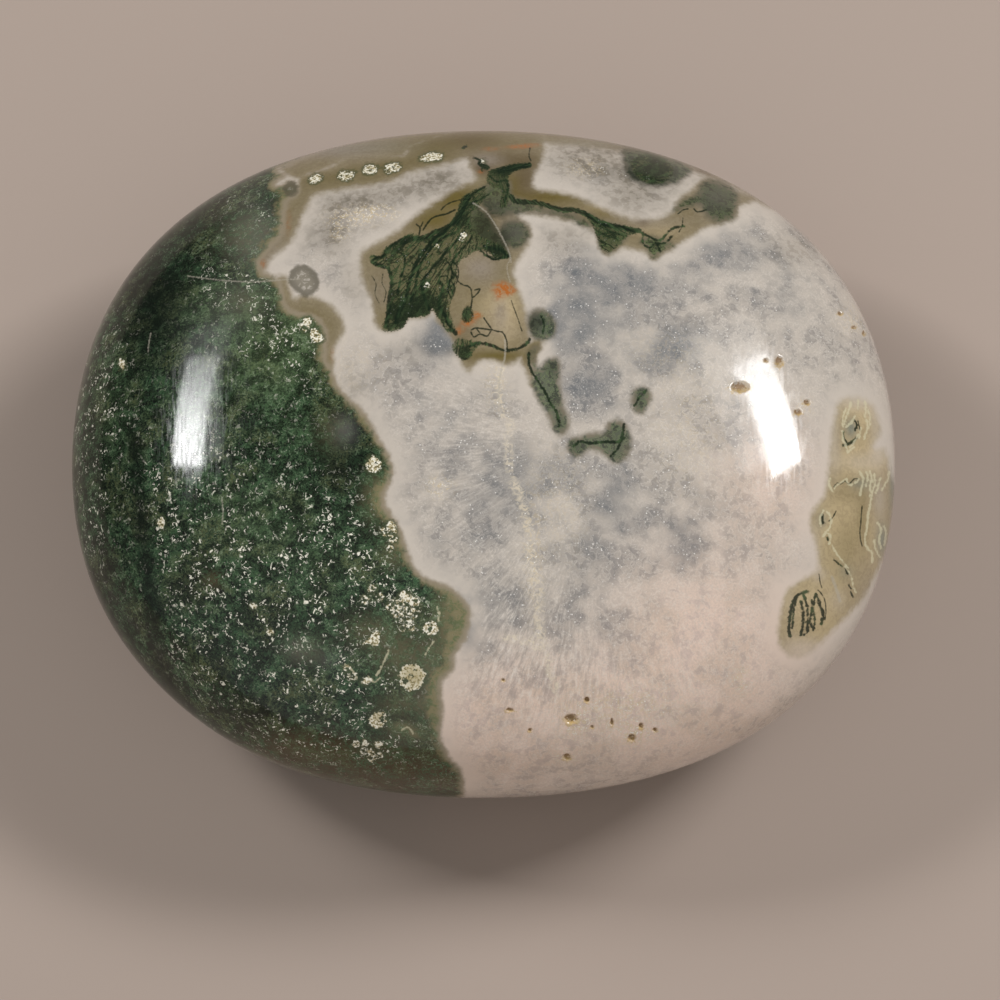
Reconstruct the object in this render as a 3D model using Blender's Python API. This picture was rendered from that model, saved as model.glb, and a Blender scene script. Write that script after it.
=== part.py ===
"""A polished moss agate palm stone, lying flat with its broad decorated face up.

It is one natural piece, so it is one solid: a cushion a little longer than it is wide, domed on both faces,
with one flattened shoulder at its near left and a small ground seat under it. Metres, +Z up, and the origin
is on the surface that the stone rests on, under the middle of its outline.
"""

import math

import bmesh
import bpy
from mathutils import Vector

# Driving dimensions of the cushion, before the shoulder and the seat are ground
HALF_LENGTH = 0.0316
HALF_WIDTH = 0.0267
HALF_THICKNESS = 0.0125

# How full the rim is: 2 is an ellipse in section, and more is squarer
RIM_FULLNESS = 2.2

# Share by which the outline is drawn in on its diagonals
DIAGONAL_HOLLOW = 0.021

# The flattened shoulder: which way it faces, and how far it lies from the middle of the cushion
SHOULDER_TURN = math.radians(225)
SHOULDER_RISE = 0.30
SHOULDER_DISTANCE = 0.0291
SHOULDER_EDGE = 0.0012

# Depth of stone ground away under the middle, which leaves a flat seat about 20 mm across
SEAT_DEPTH = 0.00055

# Mesh fineness: the sphere's subdivisions, and how near the seat's plane a point is taken to lie on it
SPHERE_STEPS = 5
SEAT_SNAP = 0.00002
SMOOTH_ANGLE = math.radians(12)

# Milky chalcedony, the colour of most of the upper face, under a high polish
STONE_COLOUR = (0.515, 0.456, 0.392, 1.0)
STONE_ROUGHNESS = 0.08
STONE_IOR = 1.54


def clear_scene():
    for thing in list(bpy.data.objects):
        bpy.data.objects.remove(thing)


def cushion_point(direction):
    """Where a ray from the middle in this direction leaves the cushion."""
    level = math.hypot(direction.x, direction.y)
    turn = math.atan2(direction.y, direction.x)
    reach = (level**RIM_FULLNESS + abs(direction.z) ** RIM_FULLNESS) ** (-1 / RIM_FULLNESS)
    outline = 1 - DIAGONAL_HOLLOW * level**2 * math.cos(4 * turn)
    return Vector(
        (
            HALF_LENGTH * reach * direction.x * outline,
            HALF_WIDTH * reach * direction.y * outline,
            HALF_THICKNESS * reach * direction.z,
        )
    )


def grind_shoulder(point):
    """Brings what stands past the shoulder's plane back to it, with a rounded edge."""
    facing = Vector((math.cos(SHOULDER_TURN), math.sin(SHOULDER_TURN), SHOULDER_RISE)).normalized()
    past = (point.dot(facing) - SHOULDER_DISTANCE) / SHOULDER_EDGE
    ground = max(past, 0) + math.log1p(math.exp(-abs(past)))
    return point - facing * ground * SHOULDER_EDGE


def grind_seat(mesh):
    """Cuts the underside off level, and closes the cut with one flat face."""
    height = SEAT_DEPTH - HALF_THICKNESS
    bmesh.ops.bisect_plane(
        mesh,
        geom=mesh.verts[:] + mesh.edges[:] + mesh.faces[:],
        dist=SEAT_SNAP,
        plane_co=(0, 0, height),
        plane_no=(0, 0, -1),
        clear_outer=True,
    )
    rim = [edge for edge in mesh.edges if edge.is_boundary]
    for edge in rim:
        for vert in edge.verts:
            vert.co.z = height
    bmesh.ops.holes_fill(mesh, edges=rim)


def stand_on_origin(mesh):
    """Moves the stone so that its seat is at z = 0 and the middle of its outline is over the origin."""
    low = Vector([min(vert.co[axis] for vert in mesh.verts) for axis in range(3)])
    high = Vector([max(vert.co[axis] for vert in mesh.verts) for axis in range(3)])
    foot = Vector(((low.x + high.x) / 2, (low.y + high.y) / 2, low.z))
    bmesh.ops.translate(mesh, verts=mesh.verts, vec=-foot)


def stone_material():
    material = bpy.data.materials.new("polished_moss_agate")
    material.use_nodes = True
    shader = material.node_tree.nodes["Principled BSDF"]
    shader.inputs["Base Color"].default_value = STONE_COLOUR
    shader.inputs["Roughness"].default_value = STONE_ROUGHNESS
    shader.inputs["Metallic"].default_value = 0.0
    shader.inputs["IOR"].default_value = STONE_IOR
    return material


def make_stone():
    mesh = bmesh.new()
    bmesh.ops.create_icosphere(mesh, subdivisions=SPHERE_STEPS, radius=1.0)
    for vert in mesh.verts:
        vert.co = grind_shoulder(cushion_point(vert.co.normalized()))
    grind_seat(mesh)
    stand_on_origin(mesh)
    bmesh.ops.recalc_face_normals(mesh, faces=mesh.faces)
    data = bpy.data.meshes.new("moss_agate_stone")
    mesh.to_mesh(data)
    mesh.free()
    data.shade_smooth()
    data.set_sharp_from_angle(angle=SMOOTH_ANGLE)
    data.materials.append(stone_material())
    stone = bpy.data.objects.new("moss_agate_stone", data)
    bpy.context.scene.collection.objects.link(stone)


clear_scene()
make_stone()
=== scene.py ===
import math

import bmesh
import bpy
import numpy as np
from mathutils import Matrix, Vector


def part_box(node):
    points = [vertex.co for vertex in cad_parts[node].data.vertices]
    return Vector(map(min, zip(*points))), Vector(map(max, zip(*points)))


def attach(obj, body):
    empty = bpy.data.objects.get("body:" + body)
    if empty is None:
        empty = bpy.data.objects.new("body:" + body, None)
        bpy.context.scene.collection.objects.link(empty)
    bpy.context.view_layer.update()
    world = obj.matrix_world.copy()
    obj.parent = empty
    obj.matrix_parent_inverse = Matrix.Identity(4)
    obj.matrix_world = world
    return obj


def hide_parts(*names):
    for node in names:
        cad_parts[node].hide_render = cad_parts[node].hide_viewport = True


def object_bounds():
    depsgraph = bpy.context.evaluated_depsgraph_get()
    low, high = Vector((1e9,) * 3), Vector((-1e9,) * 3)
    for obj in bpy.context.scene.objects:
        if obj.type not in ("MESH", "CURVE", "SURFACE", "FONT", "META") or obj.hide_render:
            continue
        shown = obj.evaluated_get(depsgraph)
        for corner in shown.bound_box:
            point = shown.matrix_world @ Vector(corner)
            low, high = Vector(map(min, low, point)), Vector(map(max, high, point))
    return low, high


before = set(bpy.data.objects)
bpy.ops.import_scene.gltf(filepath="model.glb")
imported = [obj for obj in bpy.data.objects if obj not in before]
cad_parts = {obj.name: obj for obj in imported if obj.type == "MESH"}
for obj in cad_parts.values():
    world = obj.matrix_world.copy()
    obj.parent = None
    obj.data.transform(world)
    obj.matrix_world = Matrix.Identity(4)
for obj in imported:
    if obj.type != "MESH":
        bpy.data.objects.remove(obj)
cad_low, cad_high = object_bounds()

# The cushion's dimensions in metres, the same as those of the solid that it stands for
HALF_LENGTH = 0.0316
HALF_WIDTH = 0.0267
HALF_THICKNESS = 0.0125
RIM_FULLNESS = 2.2
DIAGONAL_HOLLOW = 0.021
SHOULDER_TURN = math.radians(225)
SHOULDER_RISE = 0.30
SHOULDER_DISTANCE = 0.0291
SHOULDER_EDGE = 0.0012
SEAT_DEPTH = 0.00055

# The view: it looks down on the stone, and places in the picture are in pixels of a frame 1000 pixels square
VIEW_ELEVATION = math.radians(70)
VIEW_DISTANCE = 0.45
PICTURE_SIZE = 1000
PIXELS_PER_MM = 13.29
STONE_MIDDLE_PX = (483.5, 460.0)
SENSOR_MM = 36.0
LIGHT_DISTANCE = 0.6
ROOM_FRONT = (0.0, -0.94, 0.34)
ROOM_DIM = 0.13
ROOM_BRIGHT = 0.87
VIEW_RIGHT = np.array([1.0, 0.0, 0.0])
VIEW_UP = np.array([0.0, math.sin(VIEW_ELEVATION), math.cos(VIEW_ELEVATION)])
VIEW_BACK = np.array([0.0, -math.cos(VIEW_ELEVATION), math.sin(VIEW_ELEVATION)])
FOCAL_PX = PIXELS_PER_MM * 1000 * VIEW_DISTANCE

# Markings, as outlines seen in the picture. The moss half closes outside the stone's own outline.
MOSS = [
    (352, 136), (325, 149), (300, 160), (287, 167), (278, 170), (285, 175), (276, 184), (283, 183),
    (292, 181), (299, 188), (297, 196), (289, 200), (284, 216), (283, 234), (274, 244), (267, 253),
    (259, 262), (263, 271), (278, 279), (282, 287), (286, 304), (296, 312), (312, 314), (322, 322),
    (328, 335), (326, 350), (327, 362), (333, 370), (338, 385), (348, 398), (361, 410), (371, 423),
    (378, 437), (389, 455), (393, 472), (387, 490), (385, 502), (392, 515), (398, 523), (405, 543),
    (412, 562), (421, 575), (436, 582), (452, 588), (469, 607), (470, 621), (466, 638), (455, 655),
    (453, 670), (441, 684), (443, 710), (441, 736), (449, 756), (462, 773), (464, 800), (464, 860),
    (240, 880), (0, 860), (-20, 480), (0, 100), (200, 60), (352, 100),
]

# Tan windows of clearer chalcedony in the milky half
WINDOWS = {
    "upper band": [
        (297, 190), (299, 175), (310, 172), (329, 167), (340, 159), (352, 154), (373, 153), (395, 154),
        (405, 154), (409, 144), (424, 139), (446, 132), (480, 122), (545, 122), (545, 142), (541, 160),
        (533, 178), (536, 189), (552, 192), (576, 197), (596, 206), (614, 214), (633, 219), (655, 220),
        (672, 212), (680, 199), (694, 188), (706, 178), (724, 180), (738, 190), (760, 198), (740, 206),
        (736, 216), (720, 223), (707, 227), (693, 235), (682, 242), (672, 249), (662, 254), (653, 259),
        (645, 252), (634, 249), (620, 249), (612, 254), (603, 252), (599, 242), (596, 230), (589, 227),
        (577, 221), (565, 219), (548, 216), (531, 213), (517, 214), (524, 221), (530, 228), (530, 236),
        (527, 245), (520, 256), (515, 265), (514, 276), (518, 288), (524, 306), (526, 318), (530, 338),
        (530, 351), (523, 357), (513, 363), (504, 364), (492, 360), (481, 360), (473, 366), (470, 371),
        (466, 369), (461, 361), (457, 352), (454, 343), (448, 333), (438, 321), (433, 311), (430, 313),
        (422, 318), (410, 318), (404, 323), (397, 329), (385, 331), (379, 328), (375, 321), (374, 308),
        (370, 297), (363, 280), (361, 264), (362, 253), (370, 247), (388, 237), (404, 226), (417, 215),
        (436, 202), (452, 193), (464, 185), (476, 178), (470, 166), (466, 158), (453, 162), (431, 167),
        (409, 172), (395, 179), (373, 184), (356, 187), (340, 189), (326, 192), (314, 195), (308, 205),
        (300, 220), (294, 236), (286, 246), (272, 257), (264, 270), (250, 262), (262, 246), (276, 230),
        (280, 204),
    ],
    "crystal lobe": [
        (278, 279), (286, 277), (290, 290), (294, 300), (302, 296), (316, 298), (328, 304), (339, 315),
        (344, 327), (340, 337), (333, 350), (334, 362), (328, 374), (316, 360), (298, 348), (286, 330),
        (280, 300),
    ],
    "right edge": [
        (840, 402), (853, 397), (869, 402), (878, 419), (880, 432), (873, 448), (884, 450), (888, 462),
        (892, 478), (900, 500), (896, 530), (886, 552), (878, 568), (865, 594), (851, 611), (834, 628),
        (815, 648), (798, 657), (782, 649), (779, 632), (782, 612), (787, 592), (802, 581), (817, 572),
        (819, 566), (817, 549), (812, 529), (811, 516), (817, 507), (825, 495), (829, 470), (831, 453),
        (832, 434), (836, 415),
    ],
    "far rim, left": [
        (280, 168), (300, 157), (325, 147), (352, 138), (400, 130), (452, 126), (446, 136), (424, 143),
        (410, 149), (400, 158), (373, 158), (352, 160), (340, 163), (329, 168), (310, 175), (299, 179),
        (290, 176), (284, 173),
    ],
    "far rim, right": [
        (545, 128), (600, 134), (650, 145), (700, 162), (740, 181), (775, 206), (762, 203), (740, 191),
        (716, 181), (694, 171), (680, 164), (655, 157), (625, 151), (600, 147), (570, 144), (545, 142),
    ],
    "hollow by the blobs": [
        (523, 348), (531, 341), (541, 338), (542, 346), (536, 357), (532, 366), (534, 376), (531, 386),
        (527, 372), (521, 362),
    ],
}

# Grey-green blobs of dense moss seen through the milky stone
HAZES = {
    "blob under the window": [
        (527, 318), (531, 312), (538, 309), (547, 311), (554, 319), (556, 330), (550, 339), (541, 341),
        (531, 336),
    ],
    "chain": [
        (528, 351), (534, 345), (540, 347), (536, 357), (539, 368), (546, 360), (556, 359), (561, 367),
        (560, 379), (561, 391), (564, 405), (569, 419), (568, 430), (560, 436), (553, 430), (545, 412),
        (536, 398), (531, 384), (533, 374), (529, 362),
    ],
    "bent blob": [
        (567, 445), (571, 438), (579, 436), (587, 433), (597, 432), (604, 431), (608, 423), (619, 419),
        (628, 428), (631, 443), (630, 454), (622, 461), (613, 463), (606, 457), (599, 452), (588, 450),
        (581, 456), (575, 458), (569, 452),
    ],
    "small blob": [
        (632, 392), (639, 387), (648, 388), (651, 398), (648, 408), (641, 414), (634, 411), (631, 402),
    ],
    "dark lens": [
        (624, 148), (655, 151), (684, 162), (692, 170), (683, 180), (672, 185), (658, 187), (644, 185),
        (632, 179), (625, 171), (622, 158),
    ],
    "grey corner": [
        (672, 212), (676, 205), (684, 199), (696, 194), (700, 186), (708, 180), (722, 181), (734, 188),
        (738, 198), (735, 217), (727, 222), (715, 222), (706, 216), (700, 206), (690, 207), (682, 210),
    ],
    "veil by the plume": [
        (478, 196), (486, 184), (498, 178), (510, 182), (514, 196), (530, 203), (552, 209), (580, 216),
        (592, 226), (586, 229), (566, 219), (548, 215), (530, 213), (514, 215), (500, 217), (490, 214),
    ],
    "dark glass": [
        (472, 204), (482, 208), (492, 219), (500, 233), (509, 250), (508, 257), (498, 253), (487, 247),
        (477, 243), (468, 232), (466, 216),
    ],
    "grey eye in the window": [
        (499, 233), (504, 223), (515, 219), (526, 224), (530, 234), (525, 244), (516, 249), (505, 246),
    ],
    "foot of the hanging plume": [
        (586, 213), (600, 219), (622, 226), (630, 232), (624, 243), (616, 250), (609, 254), (600, 250),
        (597, 238), (592, 226),
    ],
    "second hanging foot": [
        (640, 240), (650, 236), (668, 240), (676, 246), (664, 251), (654, 260), (646, 250),
    ],
}

# Round grey eyes: a dark ring about a paler middle
EYES = [
    [(288, 280), (294, 268), (304, 264), (315, 271), (320, 283), (315, 293), (306, 297), (295, 291)],
    [(282, 189), (286, 183), (293, 181), (298, 187), (296, 195), (288, 196)],
]

# Dark green plumes
PLUMES = {
    "great plume": [
        (477, 189), (463, 197), (457, 212), (448, 226), (437, 231), (425, 237), (410, 234), (398, 241),
        (385, 249), (380, 257), (372, 255), (370, 259), (376, 266), (387, 268), (391, 277), (392, 290),
        (390, 304), (386, 318), (382, 330), (392, 331), (403, 327), (408, 318), (418, 317), (429, 314),
        (432, 308), (440, 320), (447, 331), (455, 331), (452, 320), (449, 308), (452, 299), (455, 288),
        (456, 276), (459, 262), (468, 255), (478, 250), (488, 251), (496, 258), (508, 257), (502, 246),
        (490, 241), (474, 232), (470, 215), (481, 203), (486, 192),
    ],
    "head of the plume": [
        (488, 184), (489, 172), (500, 168), (514, 164), (529, 163), (529, 167), (514, 171), (508, 178),
        (509, 194), (506, 206), (500, 206), (502, 190),
    ],
    "hanging plume": [
        (583, 211), (596, 219), (614, 224), (630, 228), (638, 232), (626, 236), (618, 246), (609, 252),
        (601, 247), (597, 236), (592, 224),
    ],
    "strands in the dark lens": [
        (631, 163), (640, 156), (652, 155), (664, 160), (672, 167), (671, 177), (660, 183), (646, 182),
        (636, 175),
    ],
    "lower blob": [
        (452, 347), (458, 339), (470, 341), (480, 343), (474, 349), (470, 357), (464, 360), (457, 355),
    ],
    "side blob": [(462, 318), (463, 311), (469, 306), (473, 314), (471, 321), (465, 322)],
}

# Strokes that taper to both ends, each by its width in pixels and the points that it follows
STROKES = {
    # Fine dark twigs
    "twig": [
        (1.3, [(470, 199), (460, 200), (452, 202), (446, 205), (441, 210)]),
        (1.8, [(455, 210), (446, 214), (437, 216), (431, 219), (427, 224), (423, 230)]),
        (1.6, [(416, 224), (420, 228), (419, 235)]),
        (1.4, [(420, 228), (423, 222)]),
        (1.5, [(456, 275), (458, 281), (463, 285), (468, 286), (471, 290), (472, 299), (471, 308)]),
        (1.5, [(472, 298), (477, 294), (480, 289), (475, 290)]),
        (1.6, [(484, 318), (488, 324), (493, 330), (502, 332)]),
        (1.4, [(502, 332), (505, 336), (507, 343), (507, 350)]),
        (1.6, [(492, 330), (485, 329), (476, 328), (471, 330)]),
        (1.6, [(491, 331), (487, 336), (480, 334), (474, 337), (471, 332)]),
        (1.2, [(476, 328), (480, 333)]),
        (1.0, [(511, 300), (515, 311), (519, 322), (522, 331)]),
        (1.4, [(486, 251), (488, 256), (494, 260), (500, 258)]),
        (1.4, [(448, 262), (452, 270), (451, 280), (455, 288), (453, 296)]),
        (1.4, [(453, 262), (458, 268), (458, 278), (456, 284)]),
        (1.4, [(440, 277), (446, 276), (450, 281), (448, 290), (451, 298)]),
        (1.2, [(678, 214), (683, 210), (688, 209)]),
        (1.6, [(694, 209), (698, 212), (706, 210)]),
        (1.0, [(683, 218), (682, 226), (679, 232)]),
        (1.2, [(530, 148), (529, 156), (531, 161)]),
        (1.2, [(818, 590), (824, 598), (826, 610), (825, 620)]),
        (1.0, [(819, 574), (820, 582), (822, 588)]),
        (1.2, [(836, 511), (833, 517), (829, 521)]),
        (1.2, [(862, 506), (861, 520), (860, 534), (862, 546)]),
        (1.2, [(834, 487), (837, 483), (841, 484), (845, 481), (849, 484), (854, 479), (858, 479)]),
        (1.4, [(858, 421), (860, 430)]),
        (0.9, [(372, 276), (376, 284), (375, 294), (379, 303)]),
        (0.9, [(383, 274), (382, 283), (386, 292), (384, 302)]),
    ],
    # Mossy stems and strands
    "stem": [
        (5.0, [
            (511, 196), (515, 201), (526, 202), (538, 203), (552, 207), (562, 210), (574, 210),
            (584, 213),
        ]),
        (5.0, [(584, 213), (598, 221), (612, 226), (624, 228), (639, 231)]),
        (2.4, [(639, 231), (646, 235), (656, 240), (662, 239), (667, 233), (674, 228), (684, 226)]),
        (2.0, [(643, 232), (643, 242), (649, 248), (656, 243), (660, 252)]),
        (2.0, [(655, 243), (665, 243), (672, 236)]),
        (3.0, [(470, 346), (480, 343), (491, 345), (503, 350), (513, 350), (524, 346), (530, 339)]),
        (2.6, [
            (529, 353), (529, 364), (532, 372), (538, 381), (545, 392), (550, 402), (557, 413),
            (559, 426),
        ]),
        (2.8, [(574, 446), (580, 442), (592, 443), (604, 442), (617, 442), (624, 438)]),
        (2.8, [(624, 424), (622, 436), (618, 448), (611, 456)]),
        (1.8, [(541, 316), (544, 324), (543, 334)]),
        (1.8, [(634, 406), (639, 398), (646, 390)]),
        (3.4, [(807, 592), (800, 594), (794, 600), (792, 607), (790, 617), (789, 629), (790, 636)]),
        (2.4, [(796, 598), (794, 607), (793, 618), (792, 628)]),
        (3.0, [(801, 602), (803, 612), (803, 622), (801, 635)]),
        (2.6, [(804, 596), (807, 606), (808, 618), (807, 632)]),
        (3.0, [(816, 594), (814, 602), (811, 614), (810, 623), (814, 628)]),
        (2.2, [(812, 600), (813, 610), (815, 620), (813, 630)]),
        (3.0, [(816, 594), (820, 605), (823, 614), (821, 624)]),
        (1.8, [(806, 622), (809, 630), (804, 635)]),
        (1.7, [(834, 560), (838, 563), (842, 566)]),
        (1.7, [(845, 569), (848, 574)]),
        (1.7, [(849, 585), (851, 588)]),
        (1.7, [(851, 592), (853, 597)]),
        (3.2, [(844, 445), (848, 444), (853, 442), (856, 438)]),
        (3.0, [(822, 515), (823, 523)]),
        (2.0, [(827, 537), (828, 540)]),
        (2.2, [(854, 420), (857, 425), (855, 430)]),
        (1.8, [(843, 432), (844, 438), (847, 443)]),
        (3.0, [(463, 148), (466, 146)]),
        (5.0, [(480, 164), (484, 166), (487, 167)]),
        (2.2, [(474, 158), (479, 160), (482, 164), (482, 170)]),
        (5.0, [
            (468, 197), (463, 210), (457, 221), (445, 228), (435, 232), (426, 237), (413, 239),
            (402, 243),
        ]),
        (3.6, [
            (409, 237), (399, 241), (388, 249), (384, 256), (376, 258), (372, 262), (381, 266),
            (388, 268),
        ]),
        (3.8, [(388, 268), (391, 276), (391, 288), (389, 299), (388, 311), (386, 327)]),
        (4.4, [
            (447, 229), (435, 239), (426, 249), (418, 260), (413, 272), (409, 284), (407, 295),
            (401, 307), (396, 322),
        ]),
        (2.6, [
            (456, 232), (445, 237), (434, 245), (426, 255), (420, 265), (417, 277), (415, 288),
            (411, 300),
        ]),
        (2.8, [
            (464, 232), (456, 241), (448, 250), (440, 260), (431, 270), (424, 279), (422, 288),
            (425, 299), (429, 309),
        ]),
        (2.0, [(472, 237), (464, 247), (456, 256), (451, 266), (453, 275), (449, 283), (453, 294)]),
        (3.2, [(439, 281), (443, 288), (440, 297), (439, 306), (445, 315), (449, 325), (456, 334)]),
        (2.8, [(481, 251), (487, 256), (494, 259), (502, 258), (509, 256)]),
        (3.0, [(484, 246), (492, 248), (500, 250), (508, 256)]),
        (2.6, [(466, 199), (474, 193), (484, 187)]),
        (2.0, [(472, 203), (481, 199), (490, 193)]),
        (2.0, [(396, 250), (404, 256), (404, 268), (400, 280), (398, 294)]),
        (5.0, [(500, 171), (508, 169), (518, 167), (529, 165)]),
        (2.2, [(490, 176), (497, 182), (506, 180), (508, 190), (504, 202)]),
    ],
    # Lines of pale fibres
    "line": [
        (2.0, [(851, 402), (849, 410), (846, 418), (844, 424)]),
        (2.2, [(865, 402), (866, 410), (865, 417), (868, 424), (866, 433), (864, 439)]),
        (1.8, [(868, 410), (870, 418), (869, 428)]),
        (2.0, [(855, 416), (852, 422), (846, 427)]),
        (2.0, [(842, 431), (843, 439), (846, 447), (848, 452)]),
        (1.8, [(858, 434), (855, 441), (850, 447)]),
        (1.8, [(861, 428), (859, 438)]),
        (1.6, [(858, 400), (858, 409)]),
        (1.6, [(846, 408), (843, 417), (843, 427)]),
        (1.6, [(854, 447), (848, 452), (846, 449)]),
        (1.8, [(830, 478), (829, 485), (833, 492)]),
        (1.8, [(834, 489), (837, 485), (842, 482), (846, 479), (849, 485), (855, 483), (859, 479)]),
        (2.2, [(860, 472), (863, 479), (862, 486), (860, 495)]),
        (2.0, [(866, 472), (868, 478), (866, 486)]),
        (2.2, [(870, 472), (872, 479), (870, 486), (872, 495)]),
        (1.8, [(874, 474), (875, 482), (873, 490), (870, 497)]),
        (1.8, [(881, 478), (878, 486), (876, 493)]),
        (2.0, [(889, 472), (888, 479), (884, 486), (882, 490)]),
        (2.2, [
            (872, 493), (870, 505), (868, 515), (867, 527), (865, 536), (865, 543), (868, 549),
            (872, 553), (872, 562),
        ]),
        (1.8, [(823, 511), (820, 518), (821, 526)]),
        (2.0, [(827, 512), (831, 518), (830, 527), (826, 532)]),
        (2.4, [(823, 536), (827, 533), (831, 538), (829, 544)]),
        (1.4, [(832, 545), (836, 553), (842, 561), (848, 568)]),
        (1.4, [(845, 566), (851, 576), (853, 586), (856, 592)]),
        (2.2, [(878, 523), (881, 530), (879, 539), (881, 548)]),
        (1.8, [(874, 540), (876, 550), (880, 557)]),
        (1.8, [(884, 526), (886, 534), (884, 545)]),
        (1.8, [(437, 607), (439, 614), (438, 621)]),
        (1.8, [(389, 650), (385, 659), (380, 670), (376, 675)]),
        (1.8, [(368, 676), (374, 682), (380, 678)]),
        (1.8, [(345, 664), (352, 670), (357, 678)]),
        (1.4, [(434, 641), (429, 648), (425, 655)]),
        (1.4, [(402, 730), (408, 727), (413, 734)]),
    ],
    # Pale healed cracks and streaks
    "crack": [
        (1.1, [(188, 276), (210, 279), (232, 281), (252, 282), (280, 280), (300, 279)]),
        (1.4, [(473, 203), (484, 210), (493, 221), (502, 237), (509, 252), (511, 262)]),
        (1.0, [(511, 258), (507, 268), (510, 282)]),
        (1.8, [(505, 340), (505, 356), (502, 367), (499, 383), (499, 400)]),
        (3.0, [(832, 577), (836, 588), (840, 601)]),
        (1.0, [(151, 333), (149, 342), (148, 352)]),
        (1.2, [(222, 500), (223, 512), (222, 524)]),
    ],
    # Wider veins where the milky stone has healed
    "vein": [
        (7, [(502, 366), (499, 383), (499, 400), (503, 414), (511, 426), (508, 440), (510, 470)]),
        (9, [
            (513, 482), (521, 498), (526, 519), (530, 536), (530, 554), (534, 572), (538, 588),
            (539, 621),
        ]),
        (8, [(539, 621), (543, 646), (550, 668), (556, 690)]),
        (7, [(504, 637), (525, 641), (546, 646)]),
    ],
}

# Granular clusters of cream crystals, most of them among the moss
CREAMS = [
    [(309, 181), (312, 177), (318, 175), (322, 177), (319, 181), (313, 183)],
    [(338, 176), (343, 172), (349, 174), (354, 172), (351, 178), (343, 180)],
    [(363, 172), (366, 166), (373, 165), (377, 169), (372, 174)],
    [(387, 169), (390, 164), (396, 163), (400, 167), (395, 171)],
    [(420, 159), (425, 155), (434, 153), (442, 155), (440, 159), (429, 161)],
    [(303, 322), (307, 317), (311, 321), (309, 326)],
    [(310, 333), (314, 329), (320, 333), (324, 339), (317, 342), (312, 339)],
    [(362, 645), (370, 637), (376, 631), (380, 634), (379, 642), (376, 646), (370, 643)],
    [(399, 676), (403, 667), (413, 664), (421, 668), (425, 677), (420, 687), (411, 691), (402, 686)],
    [(370, 724), (371, 716), (378, 712), (385, 715), (385, 723), (378, 728)],
    [(400, 594), (404, 591), (410, 597), (416, 604), (412, 605), (404, 600)],
    [(423, 628), (425, 625), (431, 624), (436, 627), (435, 632), (429, 634), (424, 632)],
    [(362, 681), (366, 678), (371, 679), (368, 684), (363, 684)],
    [(361, 742), (365, 740), (368, 743), (364, 746)],
    [(374, 745), (378, 741), (382, 744), (379, 748)],
    [(367, 752), (371, 749), (374, 752), (370, 755)],
    [(368, 461), (372, 456), (379, 460), (381, 466), (376, 472), (371, 470)],
    [(387, 524), (391, 521), (396, 527), (395, 533), (390, 530)],
    [(119, 362), (121, 358), (125, 363), (123, 370)],
    [(158, 522), (161, 517), (164, 521), (162, 528)],
    [(250, 606), (252, 603), (256, 605), (254, 609)],
    [(267, 633), (270, 630), (273, 632), (270, 635)],
]
# Hollows in them: middle and radius in pixels
CREAM_HOLES = [
    (405, 681, 3.2), (411, 675, 1.2), (415, 670, 1.2), (382, 720, 2.3), (430, 629, 2.4), (371, 170, 1.8),
    (394, 168, 2.0), (341, 176, 1.2), (383, 717, 1.6), (376, 463, 1.4), (317, 336, 1.2),
]
# Lacy loops of the same crystals: middle and radius in pixels. The five smallest, at (483, 162), (427, 285),
# (464, 235), (437, 246) and (461, 239), are painted glints.
CREAM_LOOPS = [
    (395, 603, 3.4), (400, 611, 3.2), (409, 610, 3.8), (417, 608, 3.4), (405, 620, 3.6), (397, 614, 3.0),
    (411, 627, 3.2), (403, 628, 2.6), (414, 615, 2.8), (431, 628, 6.2), (371, 758, 3.2), (363, 751, 2.8),
    (379, 756, 2.6), (356, 744, 2.4), (385, 532, 3.4), (393, 539, 3.0), (390, 549, 2.6), (372, 466, 5.2),
    (365, 600, 3.0), (372, 588, 2.8), (380, 597, 2.6), (352, 676, 3.2), (347, 668, 2.6), (305, 327, 3.6),
    (389, 169, 3.4), (346, 176, 3.8), (483, 162, 1.2), (427, 285, 1.8), (464, 235, 1.4), (437, 246, 1.0),
    (461, 239, 1.0), (408, 597, 3.0), (416, 601, 2.6), (390, 607, 2.8), (401, 604, 3.4), (410, 618, 3.0),
]
LOOP_LINE_PX = 1.3

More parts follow.
